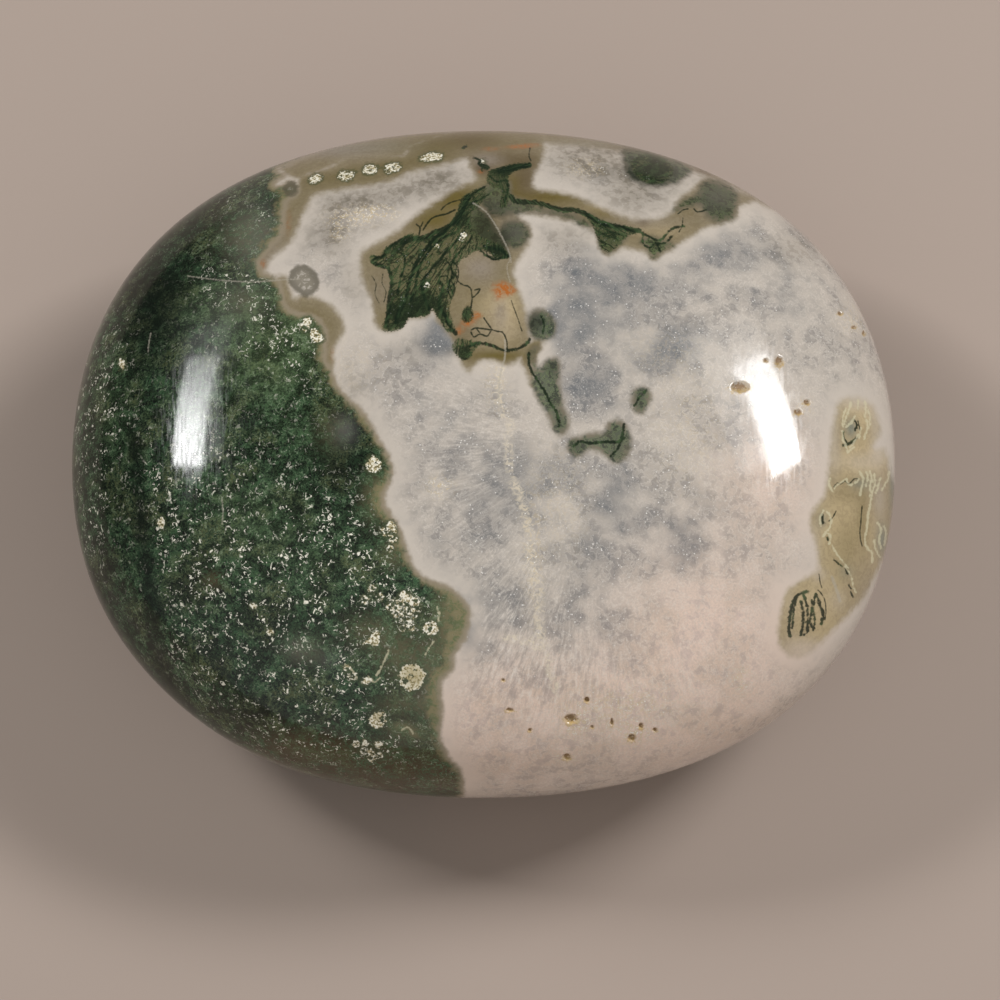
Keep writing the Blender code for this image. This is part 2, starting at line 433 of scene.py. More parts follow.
# Soft patches, each by its middle and half-sizes in pixels and its strength
CLOUDS = {
    # Clusters of small crystals in the milky half
    "crystal": [
        (575, 722, 14, 12, 0.9), (635, 734, 12, 10, 0.8), (567, 757, 9, 6, 0.8), (742, 680, 10, 14, 0.7),
        (440, 486, 12, 8, 0.9), (853, 320, 14, 14, 0.6), (744, 387, 12, 8, 0.7), (803, 407, 10, 10, 0.6),
        (533, 560, 10, 60, 0.5), (630, 700, 50, 16, 0.4), (388, 215, 10, 6, 0.6), (352, 218, 22, 9, 1.0),
        (375, 211, 16, 6, 0.9), (340, 233, 8, 8, 0.8), (585, 168, 16, 9, 0.7), (495, 385, 14, 30, 0.4),
        (440, 490, 10, 10, 0.4), (690, 430, 40, 60, 0.35), (560, 500, 30, 60, 0.3),
        (620, 720, 60, 30, 0.35), (355, 365, 40, 30, 0.2), (660, 350, 40, 24, 0.2),
    ],
    # Where the plumes' strands lie thickest
    "dense": [
        (403, 314, 17, 15, 1.0), (424, 302, 13, 12, 0.9), (440, 312, 8, 14, 0.4), (396, 248, 16, 7, 0.6),
        (458, 220, 12, 10, 0.7), (466, 352, 10, 8, 0.5), (510, 170, 22, 7, 1.3), (654, 170, 18, 12, 0.9),
        (503, 195, 7, 12, 0.4), (418, 264, 7, 16, 0.3), (390, 292, 5, 24, 0.4), (606, 234, 14, 8, 0.5),
        (494, 250, 14, 7, 0.9), (466, 315, 6, 8, 0.6), (436, 237, 14, 5, 0.5), (468, 204, 10, 10, 0.5),
    ],
    # Light green, lush tufts of the moss
    "lush": [
        (265, 358, 44, 40, 1.0), (246, 306, 40, 24, 0.8), (300, 335, 22, 30, 0.8),
        (250, 520, 50, 44, 0.35), (215, 300, 30, 20, 0.4), (330, 560, 40, 40, 0.2),
        (300, 430, 30, 30, 0.2), (110, 400, 20, 60, 0.25), (436, 618, 16, 20, 0.4),
    ],
    # Where milky stone thinly covers the windows
    "faint": [
        (805, 652, 28, 16, 0.8), (880, 450, 10, 16, 0.6), (880, 500, 8, 20, 0.4), (838, 600, 12, 16, 0.4),
        (876, 420, 8, 20, 0.5), (858, 398, 22, 14, 0.8), (820, 575, 10, 8, 0.4), (834, 440, 8, 40, 0.5),
        (860, 462, 20, 12, 0.5), (815, 545, 8, 30, 0.4), (790, 600, 8, 30, 0.3),
    ],
    # Blue-grey, glassy depths of the milky half
    "blue": [
        (437, 326, 20, 24, 0.7), (566, 324, 24, 22, 1.7), (680, 341, 34, 24, 0.7),
        (600, 282, 60, 34, 0.92), (612, 326, 24, 18, 0.5), (640, 362, 60, 28, 0.62),
        (586, 390, 30, 26, 0.6), (618, 412, 20, 14, 0.4), (690, 280, 40, 30, 0.45),
        (620, 500, 26, 40, 0.7), (680, 540, 40, 46, 0.7), (590, 570, 40, 60, 0.45),
        (540, 470, 60, 40, 0.4), (440, 400, 40, 60, 0.45), (336, 228, 16, 26, 0.2),
        (352, 200, 30, 12, 0.2), (600, 175, 26, 14, 0.5), (560, 640, 90, 40, 0.3),
        (740, 250, 44, 34, 0.6), (790, 300, 34, 44, 0.5), (490, 500, 70, 70, 0.5),
        (430, 345, 40, 20, 0.5), (500, 610, 24, 40, 0.5), (470, 640, 16, 40, 0.3),
        (360, 400, 14, 60, 0.25), (730, 430, 30, 40, 0.3),
    ],
    # The warm, sandy part of the milky half
    "sand": [
        (710, 640, 90, 90, 1.0), (620, 720, 140, 70, 1.0), (500, 730, 60, 60, 0.9),
        (770, 480, 50, 60, 0.7),
    ],
    # Where frosty fibres show in the milky half
    "fibre": [
        (510, 630, 60, 70, 1.0), (580, 690, 90, 60, 0.6), (700, 660, 80, 60, 0.25),
        (470, 450, 60, 90, 0.6), (740, 300, 80, 60, 0.2),
    ],
    # Olive stains
    "olive": [
        (456, 198, 26, 12, 1.1), (497, 356, 34, 6, 1.0), (600, 213, 60, 8, 0.7), (548, 197, 40, 7, 1.0),
        (430, 148, 26, 12, 0.7), (335, 180, 50, 12, 0.35), (848, 545, 17, 36, 0.35),
        (434, 220, 26, 12, 0.9), (845, 495, 14, 10, 0.15), (400, 165, 34, 14, 0.35),
        (462, 590, 14, 50, 0.4), (512, 185, 10, 14, 0.8), (378, 315, 8, 26, 0.3), (470, 140, 40, 10, 0.7),
        (864, 520, 6, 34, 0.35), (803, 628, 16, 12, 0.25), (628, 454, 8, 12, 0.8), (596, 433, 12, 5, 0.7),
        (560, 410, 6, 9, 0.6), (534, 352, 6, 12, 0.8), (550, 318, 4, 7, 0.5),
    ],
    # Brown stains; the two wide patches along the moss's near rim, at (360, 778) and (300, 748), are a
    # painted brownish reflection
    "brown": [
        (510, 160, 40, 10, 0.6), (470, 140, 30, 10, 0.5), (643, 222, 7, 4, 0.8), (660, 149, 50, 7, 0.9),
        (706, 170, 24, 7, 0.8), (527, 180, 14, 16, 0.7), (360, 778, 130, 26, 1.4),
        (300, 748, 60, 22, 0.9), (446, 720, 16, 60, 0.4), (430, 255, 16, 8, 0.5), (213, 580, 9, 8, 1.0),
        (465, 335, 14, 14, 0.3), (483, 168, 8, 7, 1.0), (500, 210, 14, 14, 0.4),
    ],
    # Rusty stains
    "rust": [
        (505, 290, 12, 6, 1.1), (500, 299, 4, 6, 0.5), (476, 315, 7, 4, 0.8), (468, 322, 7, 5, 0.9),
        (459, 331, 6, 5, 0.6), (262, 264, 6, 8, 0.5), (288, 222, 6, 20, 0.35), (280, 300, 4, 12, 0.4),
        (333, 355, 4, 12, 0.4), (516, 147, 12, 2.5, 0.7), (532, 145, 12, 3, 0.5), (490, 149, 10, 3, 0.5),
        (372, 188, 24, 2, 0.4), (480, 172, 5, 3, 0.5), (500, 283, 8, 4, 0.4),
    ],
    # Pale fog in the windows, the moss and the blobs
    "fog": [
        (479, 268, 18, 14, 0.9), (501, 311, 7, 14, 0.8), (496, 330, 24, 14, 0.3), (486, 160, 16, 7, 0.9),
        (256, 236, 26, 34, 0.9), (345, 430, 12, 14, 0.8), (240, 300, 30, 22, 0.4), (330, 150, 50, 8, 0.8),
        (430, 690, 20, 30, 0.25), (215, 330, 30, 20, 0.3), (879, 500, 8, 30, 0.5),
        (380, 290, 12, 20, 0.4), (650, 222, 40, 7, 0.4), (866, 590, 12, 30, 0.3), (300, 650, 16, 12, 0.5),
        (330, 660, 14, 10, 0.4), (514, 232, 14, 14, 1.0), (500, 207, 26, 8, 0.6), (560, 213, 30, 5, 0.5),
        (716, 200, 20, 16, 0.9),
    ],
    # Straw-coloured stains
    "straw": [
        (508, 318, 12, 24, 0.5), (500, 300, 20, 12, 0.4), (600, 210, 20, 5, 0.5), (470, 262, 14, 14, 0.2),
        (857, 420, 28, 36, 0.7), (862, 462, 34, 20, 0.8), (805, 620, 34, 46, 1.0),
        (880, 510, 16, 60, 0.4), (845, 560, 40, 60, 0.7), (825, 520, 14, 30, 0.5),
        (495, 320, 24, 24, 0.45), (600, 228, 8, 6, 0.4), (660, 230, 24, 8, 0.4), (845, 512, 8, 12, 0.4),
        (845, 500, 24, 34, 0.3), (858, 408, 20, 20, 0.5), (413, 675, 14, 13, 1.0), (380, 717, 6, 6, 0.8),
        (860, 530, 20, 30, 0.2),
    ],
    # Grey-green mist in the windows
    "mist": [
        (851, 428, 6, 10, 1.0), (882, 540, 6, 16, 0.9), (893, 470, 4, 40, 1.0), (360, 146, 70, 9, 0.3),
        (600, 143, 60, 6, 0.3), (868, 482, 10, 10, 0.4), (822, 520, 6, 10, 0.5), (858, 484, 8, 5, 0.5),
        (846, 572, 8, 8, 0.4),
    ],
    # The olive veil over the moss
    "veil": [
        (454, 625, 18, 36, 0.9), (404, 655, 30, 24, 0.6), (370, 630, 24, 16, 0.45),
        (434, 700, 12, 40, 0.7), (395, 745, 24, 12, 0.3), (250, 235, 30, 26, 0.45),
        (335, 345, 14, 22, 0.7), (300, 300, 16, 14, 0.5), (245, 300, 20, 14, 0.3),
        (292, 190, 14, 14, 0.7), (405, 705, 30, 12, 0.5), (330, 430, 14, 20, 0.3),
        (305, 650, 20, 14, 0.3), (378, 498, 14, 22, 0.8), (456, 612, 14, 22, 0.6),
        (392, 555, 12, 16, 0.5), (402, 728, 14, 6, 1.0), (415, 735, 8, 5, 0.7),
    ],
    # Darker places: darker, clearer stone in the blobs and about the crystals, and painted shade along the
    # far rim and down the moss's left side
    "shade": [
        (250, 712, 40, 18, 0.5), (640, 178, 16, 8, 0.8), (590, 236, 10, 10, 0.3), (606, 172, 34, 9, 0.4),
        (654, 170, 18, 10, 1.3), (553, 368, 8, 10, 0.6), (535, 322, 8, 12, 1.2), (722, 204, 12, 14, 0.25),
        (614, 440, 10, 12, 0.3), (576, 446, 7, 8, 0.45), (488, 228, 17, 22, 1.3), (504, 246, 8, 10, 0.6),
        (640, 402, 6, 10, 0.4), (560, 424, 5, 12, 0.3), (160, 290, 44, 50, 0.85), (190, 215, 40, 30, 0.6),
        (105, 640, 26, 80, 0.5), (110, 480, 50, 120, 0.4), (336, 228, 15, 26, 1.1),
        (354, 203, 30, 9, 0.9), (376, 226, 18, 5, 0.4), (452, 352, 8, 6, 0.3), (440, 178, 30, 13, 1.0),
        (396, 192, 44, 12, 0.8), (345, 470, 40, 50, 0.45), (330, 440, 30, 40, 0.3),
        (150, 350, 30, 40, 0.5), (145, 690, 30, 40, 0.6), (590, 155, 46, 20, 1.1),
        (636, 194, 34, 20, 0.95), (690, 178, 40, 14, 0.35), (562, 238, 24, 16, 0.55),
        (795, 248, 30, 18, 0.5), (312, 238, 16, 18, 0.45), (356, 284, 16, 22, 0.5),
        (350, 384, 14, 26, 0.4), (412, 352, 24, 14, 0.32),
    ],
    # Where the moss is full of cream flecks
    "speck": [
        (100, 420, 26, 60, 0.9), (228, 285, 34, 20, 0.8), (270, 340, 50, 24, 0.6),
        (300, 370, 24, 40, 0.4), (170, 520, 40, 50, 0.6), (150, 460, 16, 40, 0.3),
        (260, 600, 80, 60, 0.8), (300, 500, 50, 60, 0.5), (345, 560, 36, 60, 0.8),
        (400, 610, 40, 24, 1.0), (300, 700, 70, 40, 0.9), (355, 745, 60, 16, 1.0),
        (408, 612, 14, 12, 1.0), (352, 672, 14, 12, 0.6), (366, 746, 18, 8, 0.8), (215, 470, 40, 40, 0.5),
        (200, 640, 30, 50, 0.7), (318, 335, 14, 14, 1.0), (262, 305, 12, 26, 0.5), (95, 560, 16, 40, 0.4),
        (240, 560, 40, 40, 0.5), (230, 205, 10, 8, 0.6), (262, 215, 8, 8, 0.6), (373, 585, 14, 22, 1.0),
        (350, 620, 24, 20, 0.6), (96, 500, 16, 40, 0.7), (320, 720, 40, 20, 0.6), (395, 680, 20, 14, 0.5),
        (130, 340, 20, 30, 0.4), (350, 690, 40, 20, 0.6),
    ],
}

# What share of some soft patches the underside holds evenly
UNDER_SHARES = {"dense": 0.3, "lush": 0.2, "blue": 0.35, "olive": 0.3, "speck": 0.6}

# Painted shade in the moss, along the crease where the flattened flank meets the top: width in pixels, and
# the points. Then how dark, and where their edge starts and ends
SHADE_BANDS = [
    (9, [
        (131, 436), (138, 480), (141, 527), (147, 565), (153, 600), (156, 640), (163, 672), (176, 694),
        (192, 714),
    ]),
]

BAND_SHARE = 0.8
BAND_EDGE_MM = (-0.9, 0.3)

# Pits of the polished face: middle and half-sizes in pixels, and depth in millimetres
PITS = [
    (740, 387, 9, 5.5, 0.16), (779, 361, 4, 5.5, 0.18), (766, 360, 2.4, 2.2, 0.12),
    (807, 402, 3.4, 3.0, 0.2), (798, 412, 4, 3.0, 0.16), (571, 719, 7, 5, 0.3), (587, 700, 3, 3, 0.25),
    (632, 738, 4, 3.5, 0.32), (641, 726, 2.4, 3.2, 0.22), (655, 730, 2.2, 2.4, 0.18),
    (612, 722, 1.8, 4, 0.2), (567, 757, 4, 3.5, 0.2), (530, 730, 2, 2, 0.14), (592, 727, 2, 1.8, 0.14),
    (503, 680, 2, 2, 0.12), (510, 710, 4, 2.4, 0.12), (840, 313, 2.4, 2.4, 0.12),
    (854, 327, 2.4, 2.0, 0.12), (864, 333, 1.8, 2.4, 0.1),
]

# In half-sizes of a pit: where its wall starts and ends, how far its stain reaches, and the lean from its
# brown far side to its golden near side, which is painted shade and light
PIT_WALL = (0.35, 1.15)
PIT_STAIN = 2.2
PIT_LEAN = (-1, 2)

# Markings of the underside, in millimetres from the stone's middle as seen from above
UNDER_MOSS = [
    (-2, -40), (-4, -22), (-7, -15), (-3, -9), (-6, -3), (-10, 3), (-7, 9), (-12, 14), (-11, 20),
    (-15, 40), (-50, 40), (-50, -40),
]
UNDER_WINDOWS = [
    [(4, 12), (9, 16), (16, 15), (19, 10), (15, 6), (9, 7), (5, 4), (2, 7)],
    [(12, -15), (18, -17), (23, -12), (20, -7), (14, -8), (11, -11)],
    [(24, -1), (28, 2), (29, 7), (25, 9), (22, 4)],
]
UNDER_PLUMES = [
    [(6, 11), (11, 13), (15, 12), (14, 9), (9, 9), (5, 7)],
    [(14, -13), (18, -14), (20, -11), (17, -9), (14, -10)],
]

# Where the plumes' strands and the milky half's frosty fibres spread from, in the picture
FAN_ROOT = (498, 172)
FAN_REACH_MM = 7.0
SPOKES_ROOT = (600, 440)
SPOKES_REACH_MM = 15.0
FAN_STRETCH = 0.20
SPOKES_STRETCH = 0.20

# How the top's markings give way to the underside's, in metres below the widest level
UNDER_STARTS = 0.0
UNDER_ENDS = 0.006

# Mesh fineness: a sphere's subdivisions, then how many times marked places are halved
SPHERE_STEPS = 6
HALVINGS = 4

# At the second and third halving: markings with a fine mesh along their edge, and those with it inside and
# a little outside, each with how far from the edge it goes in millimetres. The fourth takes strokes' edges.
SECOND_ALONG = {"window": 0.6, "moss": 0.9}
SECOND_INSIDE = {"haze": 0.35, "eye": 0.3, "plume": 0.35, "cream": 0.25, "strokes": 0.3}
THIRD_ALONG = {"plume": 0.14}
THIRD_INSIDE = {"cream": 0.08, "strokes": 0.12}
FOURTH_ALONG_STROKES = 0.04
FINE_BELOW_MIDDLE = 0.002

# Steps of a curve between two points, and how far outside a marking depths are told apart
ROUNDING_STEPS = 4
FAR_MM = 6.0

# Grains of the stone: whether they curl, their spacing in millimetres, and their detail and roughness
GRAINS = {
    "broad": (False, 2.8, 1.0, 0.55),
    "clots": (False, 1.4, 3.0, 0.6),
    "mottle": (True, 0.7, 3.0, 0.6),
    "crumbly": (True, 0.28, 1.0, 0.55),
    "fine": (False, 0.14, 1.0, 0.55),
}

# Crystals in a millimetre: painted glints of the milky half and the plumes, and cream crumbs of the moss
DOTS_PER_MM = 3.4
CRUMBS_PER_MM = 3.3

# The polish: how light bends in agate, and how strongly its skin mirrors
STONE_IOR = 1.54
STONE_SHEEN = 0.32

# Softboxes: the pixels where the stone mirrors the middle and the end, width and length in metres, power in
# watts, and the strength at the bright and the dim end
SOFTBOXES = {
    "left_softbox": ((191, 412), (197, 372), (0.090, 0.200), 2.1, (1.0, 0.22)),
    "left_diffuser": ((200, 390), (204, 350), (0.120, 0.260), 0.28, (1.0, 0.4)),
    "right_softbox": ((773, 414), (751, 360), (0.105, 0.210), 2.45, (1.0, 0.5)),
    "right_diffuser": ((752, 392), (738, 360), (0.180, 0.260), 0.60, (1.0, 0.4)),
}
FLOOR_HALF_SIDE = 3.0

# Colours
MILK = "#CDC3B7"
MILK_WARM = "#EBCFBD"
MILK_PALE = "#E4DBD0"
MILK_DEEP = "#88837F"
# Painted shade of the milky half towards the far rim, and the darker stone about the crystals
MILK_SHADE = "#7C7466"
MILK_GOLD = "#C9AE8B"
VEIN = "#E0D3BC"
MILK_MAUVE = "#A79A9E"
BLUE_GREY = "#60676D"
CRYSTAL = "#D2BE98"
TAN_EDGE = "#8F8369"
TAN = "#82765A"
TAN_PALE = "#9A8D72"
STRAW = "#C8B48E"
OLIVE = "#695C2C"
BROWN = "#54432E"
RUST = "#AE6730"
FOG = "#968B7E"
MIST = "#83877A"
FOG_IN_MOSS = "#6B6967"
HAZE_RIM = "#736B58"
HAZE_LIGHT = "#66784C"
HAZE_GREEN = "#48543F"
HAZE_GREY = "#53524A"
EYE_RING = "#5C5748"
EYE_MIDDLE = "#777161"
PLUME_DARK = "#182418"
PLUME_GREEN = "#455B3A"
PLUME_TINT = "#525439"
MOSS_BLACK = "#0A130C"
MOSS_DEEP = "#192A1E"
MOSS_GREEN = "#3B5A3D"
MOSS_OLIVE = "#53583A"
MOSS_LUSH = "#5B6B4A"
MOSS_LIGHT = "#86987A"
MOSS_RIM = "#968A75"
MOSS_VEIL = "#827A5A"
MOSS_THREAD = "#5C7350"
VEIL_GREEN = "#5F6C47"
CREAM = "#F2EEDD"
CREAM_DULL = "#5E5A3E"
CREAM_TAN = "#B7A97F"
CREAM_LINE = "#D6CFAE"
CREAM_HALO = "#4A5138"
# Painted glints
PAINTED_GLINT = "#F6F2EC"
CRACK = "#B5AE9F"
# Pits: tan and brown stain, laid from brown on the far side to tan on the near side as painted shade and
# light
PIT_TAN = "#C2A468"
PIT_BROWN = "#8A6C48"
FLOOR_COLOUR = "#B0A095"
WORLD_COLOUR = "#D8D6D4"

# What the mesh tells the material at each point, each as one number
DEPTHS_AND_SHARES = ("moss", "window", "haze", "eye", "plume", "cream", "pit", "golden", *STROKES, *CLOUDS)

# Kinds of node that are used most, with their settings: products, sums, and soft steps between two values
TIMES = ("Math", {"operation": "MULTIPLY"})
PLUS = ("Math", {"operation": "ADD"})
SOFT_STEP = ("MapRange", {"interpolation_type": "SMOOTHSTEP"})


def rounded(points, closed=True):
    """The points with a smooth curve through them."""
    points = np.array(points, float)
    before = np.roll(points, 1, axis=0)
    after = np.roll(points, -1, axis=0)
    later = np.roll(points, -2, axis=0)
    if not closed:
        before[0] = points[0]
        after[-1] = points[-1]
        later[-2:] = points[-1]
    shares = np.arange(ROUNDING_STEPS) / ROUNDING_STEPS
    curve = []
    for a, b, c, d in zip(before, points, after, later):
        for t in shares:
            bend = (2 * a - 5 * b + 4 * c - d) * t + (3 * b - a - 3 * c + d) * t * t
            curve.append(b + 0.5 * t * ((c - a) + bend))
    if not closed:
        curve = curve[: -ROUNDING_STEPS + 1]
    return np.array(curve)


def gap_to_line(spots, points, closed):
    """Distance of each spot to a line through the points, and whether it lies inside a closed one."""
    nearest = np.full(len(spots), np.inf)
    inside = np.zeros(len(spots), bool)
    starts = points if closed else points[:-1]
    ends = np.roll(points, -1, axis=0) if closed else points[1:]
    for start, end in zip(starts, ends):
        along = end - start
        offset = spots - start
        share = np.clip(offset @ along / max(along @ along, 1e-9), 0, 1)
        nearest = np.minimum(nearest, ((offset - share[:, None] * along) ** 2).sum(axis=1))
        if along[1] != 0:
            crossing = start[0] + along[0] * (spots[:, 1] - start[1]) / along[1]
            spans = (start[1] > spots[:, 1]) != (end[1] > spots[:, 1])
            inside ^= spans & (spots[:, 0] < crossing)
    return np.sqrt(nearest), inside


def near_line(spots, points, reach):
    low = points.min(axis=0) - reach
    high = points.max(axis=0) + reach
    return ((spots > low) & (spots < high)).all(axis=1)


def depth_in(spots, outline, scale=1.0):
    """How far each spot lies inside an outline, in millimetres; it is negative outside."""
    outline = rounded(outline)
    near = near_line(spots, outline, FAR_MM * scale)
    depth = np.full(len(spots), -FAR_MM)
    gap, inside = gap_to_line(spots[near], outline, True)
    depth[near] = np.maximum(np.where(inside, gap, -gap) / scale, -FAR_MM)
    return depth


def depth_in_stroke(spots, width, points, scale=1.0):
    """How far each spot lies inside a stroke that tapers to both ends, in millimetres."""
    line = rounded(points, closed=False)
    near = near_line(spots, line, FAR_MM * scale)
    depth = np.full(len(spots), -FAR_MM)
    gap, _ = gap_to_line(spots[near], line, False)
    depth[near] = np.maximum((width / 2 - gap) / scale, -FAR_MM)
    return depth


def depth_in_any(spots, outlines, scale=1.0):
    return np.max([depth_in(spots, outline, scale) for outline in outlines], axis=0)


def depth_in_strokes(spots, strokes, scale):
    return np.max([depth_in_stroke(spots, width, line, scale) for width, line in strokes], axis=0)


def cloud(spots, places):
    """Soft patches added up, from 0 where there are none to 1."""
    total = np.zeros(len(spots))
    for x, y, half_x, half_y, strength in places:
        spread = ((spots[:, 0] - x) / half_x) ** 2 + ((spots[:, 1] - y) / half_y) ** 2
        total += strength * np.exp(-spread)
    return np.clip(total, 0, 1)


def stone_points(directions):
    """The stone's surface in these directions from the cushion's middle, before it is set on its seat."""
    level = np.hypot(directions[:, 0], directions[:, 1])
    turn = np.arctan2(directions[:, 1], directions[:, 0])
    reach = (level**RIM_FULLNESS + abs(directions[:, 2]) ** RIM_FULLNESS) ** (-1 / RIM_FULLNESS)
    outline = 1 - DIAGONAL_HOLLOW * level**2 * np.cos(4 * turn)
    half_sizes = np.array([HALF_LENGTH, HALF_WIDTH, HALF_THICKNESS])
    points = directions * reach[:, None] * half_sizes
    points[:, :2] *= outline[:, None]
    facing = np.array([math.cos(SHOULDER_TURN), math.sin(SHOULDER_TURN), SHOULDER_RISE])
    facing /= np.linalg.norm(facing)
    past = (points @ facing - SHOULDER_DISTANCE) / SHOULDER_EDGE
    points -= np.outer(np.logaddexp(0, past) * SHOULDER_EDGE, facing)
    points[:, 2] = np.maximum(points[:, 2], SEAT_DEPTH - HALF_THICKNESS)
    return points


def view_place():
    """The camera's place in metres: it looks against VIEW_BACK, at a point beside the stone's middle."""
    middle_offset = (np.array([PICTURE_SIZE, PICTURE_SIZE]) / 2 - STONE_MIDDLE_PX) / PIXELS_PER_MM / 1000
    aim = STONE_MIDDLE + VIEW_RIGHT * middle_offset[0] - VIEW_UP * middle_offset[1]
    return aim + VIEW_BACK * VIEW_DISTANCE


def in_picture(points):
    """Where points of the stone appear in the picture, in pixels."""
    offset = points - view_place()
    depth = -offset @ VIEW_BACK
    across = FOCAL_PX * (offset @ VIEW_RIGHT) / depth
    up = FOCAL_PX * (offset @ VIEW_UP) / depth
    return np.stack([PICTURE_SIZE / 2 + across, PICTURE_SIZE / 2 - up], axis=1)


def smooth_share(value, start, end):
    share = np.clip((value - start) / (end - start), 0, 1)
    return share * share * (3 - 2 * share)


def cream_depths(spots, scale):
    """How far each spot lies inside the cream crystals, with their hollows left out and their loops drawn."""
    cream = depth_in_any(spots, CREAMS, scale)
    for x, y, radius in CREAM_HOLES:
        cream = np.minimum(cream, (np.hypot(spots[:, 0] - x, spots[:, 1] - y) - radius) / scale)
    for x, y, radius in CREAM_LOOPS:
        off = abs(np.hypot(spots[:, 0] - x, spots[:, 1] - y) - radius)
        cream = np.maximum(cream, (LOOP_LINE_PX / 2 - off) / scale)
    return cream


def pit_marks(spots):
    """The share of a pit's stain, its lean from the far side to the near one, which paints shade on the far
    side and light on the near one, and the depth of the hollow.
    """
    pit = np.zeros(len(spots))
    golden = np.zeros(len(spots))
    pit_depth = np.zeros(len(spots))
    for x, y, half_x, half_y, depth in PITS:
        spread = np.hypot((spots[:, 0] - x) / half_x, (spots[:, 1] - y) / half_y)
        near = spread < PIT_STAIN
        golden[near] = np.clip((spots[:, 1] - y) / half_y, *PIT_LEAN)[near]
        pit = np.maximum(pit, np.clip(1 - spread / PIT_STAIN, 0, 1))
        pit_depth = np.maximum(pit_depth, (1 - smooth_share(spread, *PIT_WALL)) * depth)
    return {"pit": pit, "golden": golden, "pit_depth": pit_depth}


def markings(points):
    """What each point of the surface holds: depths inside markings in millimetres, and shares of patches."""
    spots = in_picture(points)
    plan = (points - STONE_MIDDLE)[:, :2] * 1000
    below = smooth_share(STONE_MIDDLE[2] - points[:, 2], UNDER_STARTS, UNDER_ENDS)
    top = 1 - below
    scale = PIXELS_PER_MM
    depths = {
        "moss": (depth_in(spots, MOSS, scale), depth_in(plan, UNDER_MOSS)),
        "window": (depth_in_any(spots, WINDOWS.values(), scale), depth_in_any(plan, UNDER_WINDOWS)),
        "haze": (depth_in_any(spots, HAZES.values(), scale), -FAR_MM),
        "plume": (depth_in_any(spots, PLUMES.values(), scale), depth_in_any(plan, UNDER_PLUMES)),
        "eye": (depth_in_any(spots, EYES, scale), -FAR_MM),
        "cream": (cream_depths(spots, scale), -FAR_MM),
    }
    for name, strokes in STROKES.items():
        depths[name] = (depth_in_strokes(spots, strokes, scale), -FAR_MM)
    shares = {name: cloud(spots, places) for name, places in CLOUDS.items()}
    # Painted shade along the crease joins the shade mark
    band = smooth_share(depth_in_strokes(spots, SHADE_BANDS, scale), *BAND_EDGE_MM)
    shares["shade"] = np.maximum(shares["shade"], BAND_SHARE * band)
    marks = {name: seen * top + under * below for name, (seen, under) in depths.items()}
    for name, share in shares.items():
        marks[name] = share * top + UNDER_SHARES.get(name, 0.0) * below
    for name, share in pit_marks(spots).items():
        marks[name] = share * top
    marks["fan"] = spread_from(spots, FAN_ROOT, FAN_REACH_MM, FAN_STRETCH)
    marks["spokes"] = spread_from(spots, SPOKES_ROOT, SPOKES_REACH_MM, SPOKES_STRETCH)
    return marks


def spread_from(spots, root, reach_mm, stretch):
    """Places across and along strands that spread from one root, in millimetres, drawn out along them."""
    offset = (spots - np.array(root)) / PIXELS_PER_MM
    reach = np.hypot(offset[:, 0], offset[:, 1])
    turn = np.arctan2(-offset[:, 0], offset[:, 1])
    return np.stack([turn * reach_mm, reach * stretch, np.zeros(len(spots))], axis=1)


def near_marks(marks, along, inside):
    """Which points lie along the edges of some marks, in or just outside others, or in a pit's stain."""
    near = marks["pit"] > 0
    for name, reach in along.items():
        near = near | (abs(marks[name]) < reach)
    for name, reach in inside.items():
        near = near | (marks[name] > -reach)
    return near


def fine_places(marks, points, step):
    """Which points lie where the mesh has to be finer, at each step of halving."""
    upper = points[:, 2] > STONE_MIDDLE[2] - FINE_BELOW_MIDDLE
    strokes = np.max([marks["twig"], marks["stem"], marks["line"], marks["crack"]], axis=0)
    marks = {**marks, "strokes": strokes}
    if step == 0:
        return upper
    if step == 1:
        return upper & near_marks(marks, SECOND_ALONG, SECOND_INSIDE)
    if step == 2:
        return upper & near_marks(marks, THIRD_ALONG, THIRD_INSIDE)
    stained = (marks["pit"] > 0) & (marks["pit"] < 1)
    return upper & ((abs(strokes) < FOURTH_ALONG_STROKES) | stained)


def vertex_places(mesh):
    return np.array([vert.co for vert in mesh.verts])


def refined_sphere():
    """A unit sphere of triangles, finer where the markings are fine."""
    mesh = bmesh.new()
    bmesh.ops.create_icosphere(mesh, subdivisions=SPHERE_STEPS, radius=1.0)
    for step in range(HALVINGS):
        points = stone_points(vertex_places(mesh)) + STONE_MIDDLE
        fine = fine_places(markings(points), points, step)
        mesh.verts.index_update()
        edges = [edge for edge in mesh.edges if fine[edge.verts[0].index] or fine[edge.verts[1].index]]
        bmesh.ops.subdivide_edges(mesh, edges=edges, cuts=1, use_grid_fill=True)
        bmesh.ops.triangulate(mesh, faces=[face for face in mesh.faces if len(face.verts) > 3])
        for vert in mesh.verts:
            vert.co.normalize()
    return mesh


def make_stone():
    sphere = refined_sphere()
    points = stone_points(vertex_places(sphere)) + STONE_MIDDLE
    data = bpy.data.meshes.new("moss_agate_stone_polished")
    sphere.to_mesh(data)
    sphere.free()
    data.vertices.foreach_set("co", points.astype(np.float32).ravel())
    data.update()
    marks = markings(points)
    normals = np.zeros(len(points) * 3, np.float32)
    data.vertices.foreach_get("normal", normals)
    points = points - normals.reshape(-1, 3) * (marks.pop("pit_depth") / 1000)[:, None]
    data.vertices.foreach_set("co", points.astype(np.float32).ravel())
    data.update()
    for name, values in marks.items():
        kind, part = ("FLOAT", "value") if values.ndim == 1 else ("FLOAT_VECTOR", "vector")
        attribute = data.attributes.new(name, kind, "POINT")
        attribute.data.foreach_set(part, values.astype(np.float32).ravel())
    data.shade_smooth()
    stone = bpy.data.objects.new("moss_agate_stone_polished", data)
    bpy.context.scene.collection.objects.link(stone)
    return stone


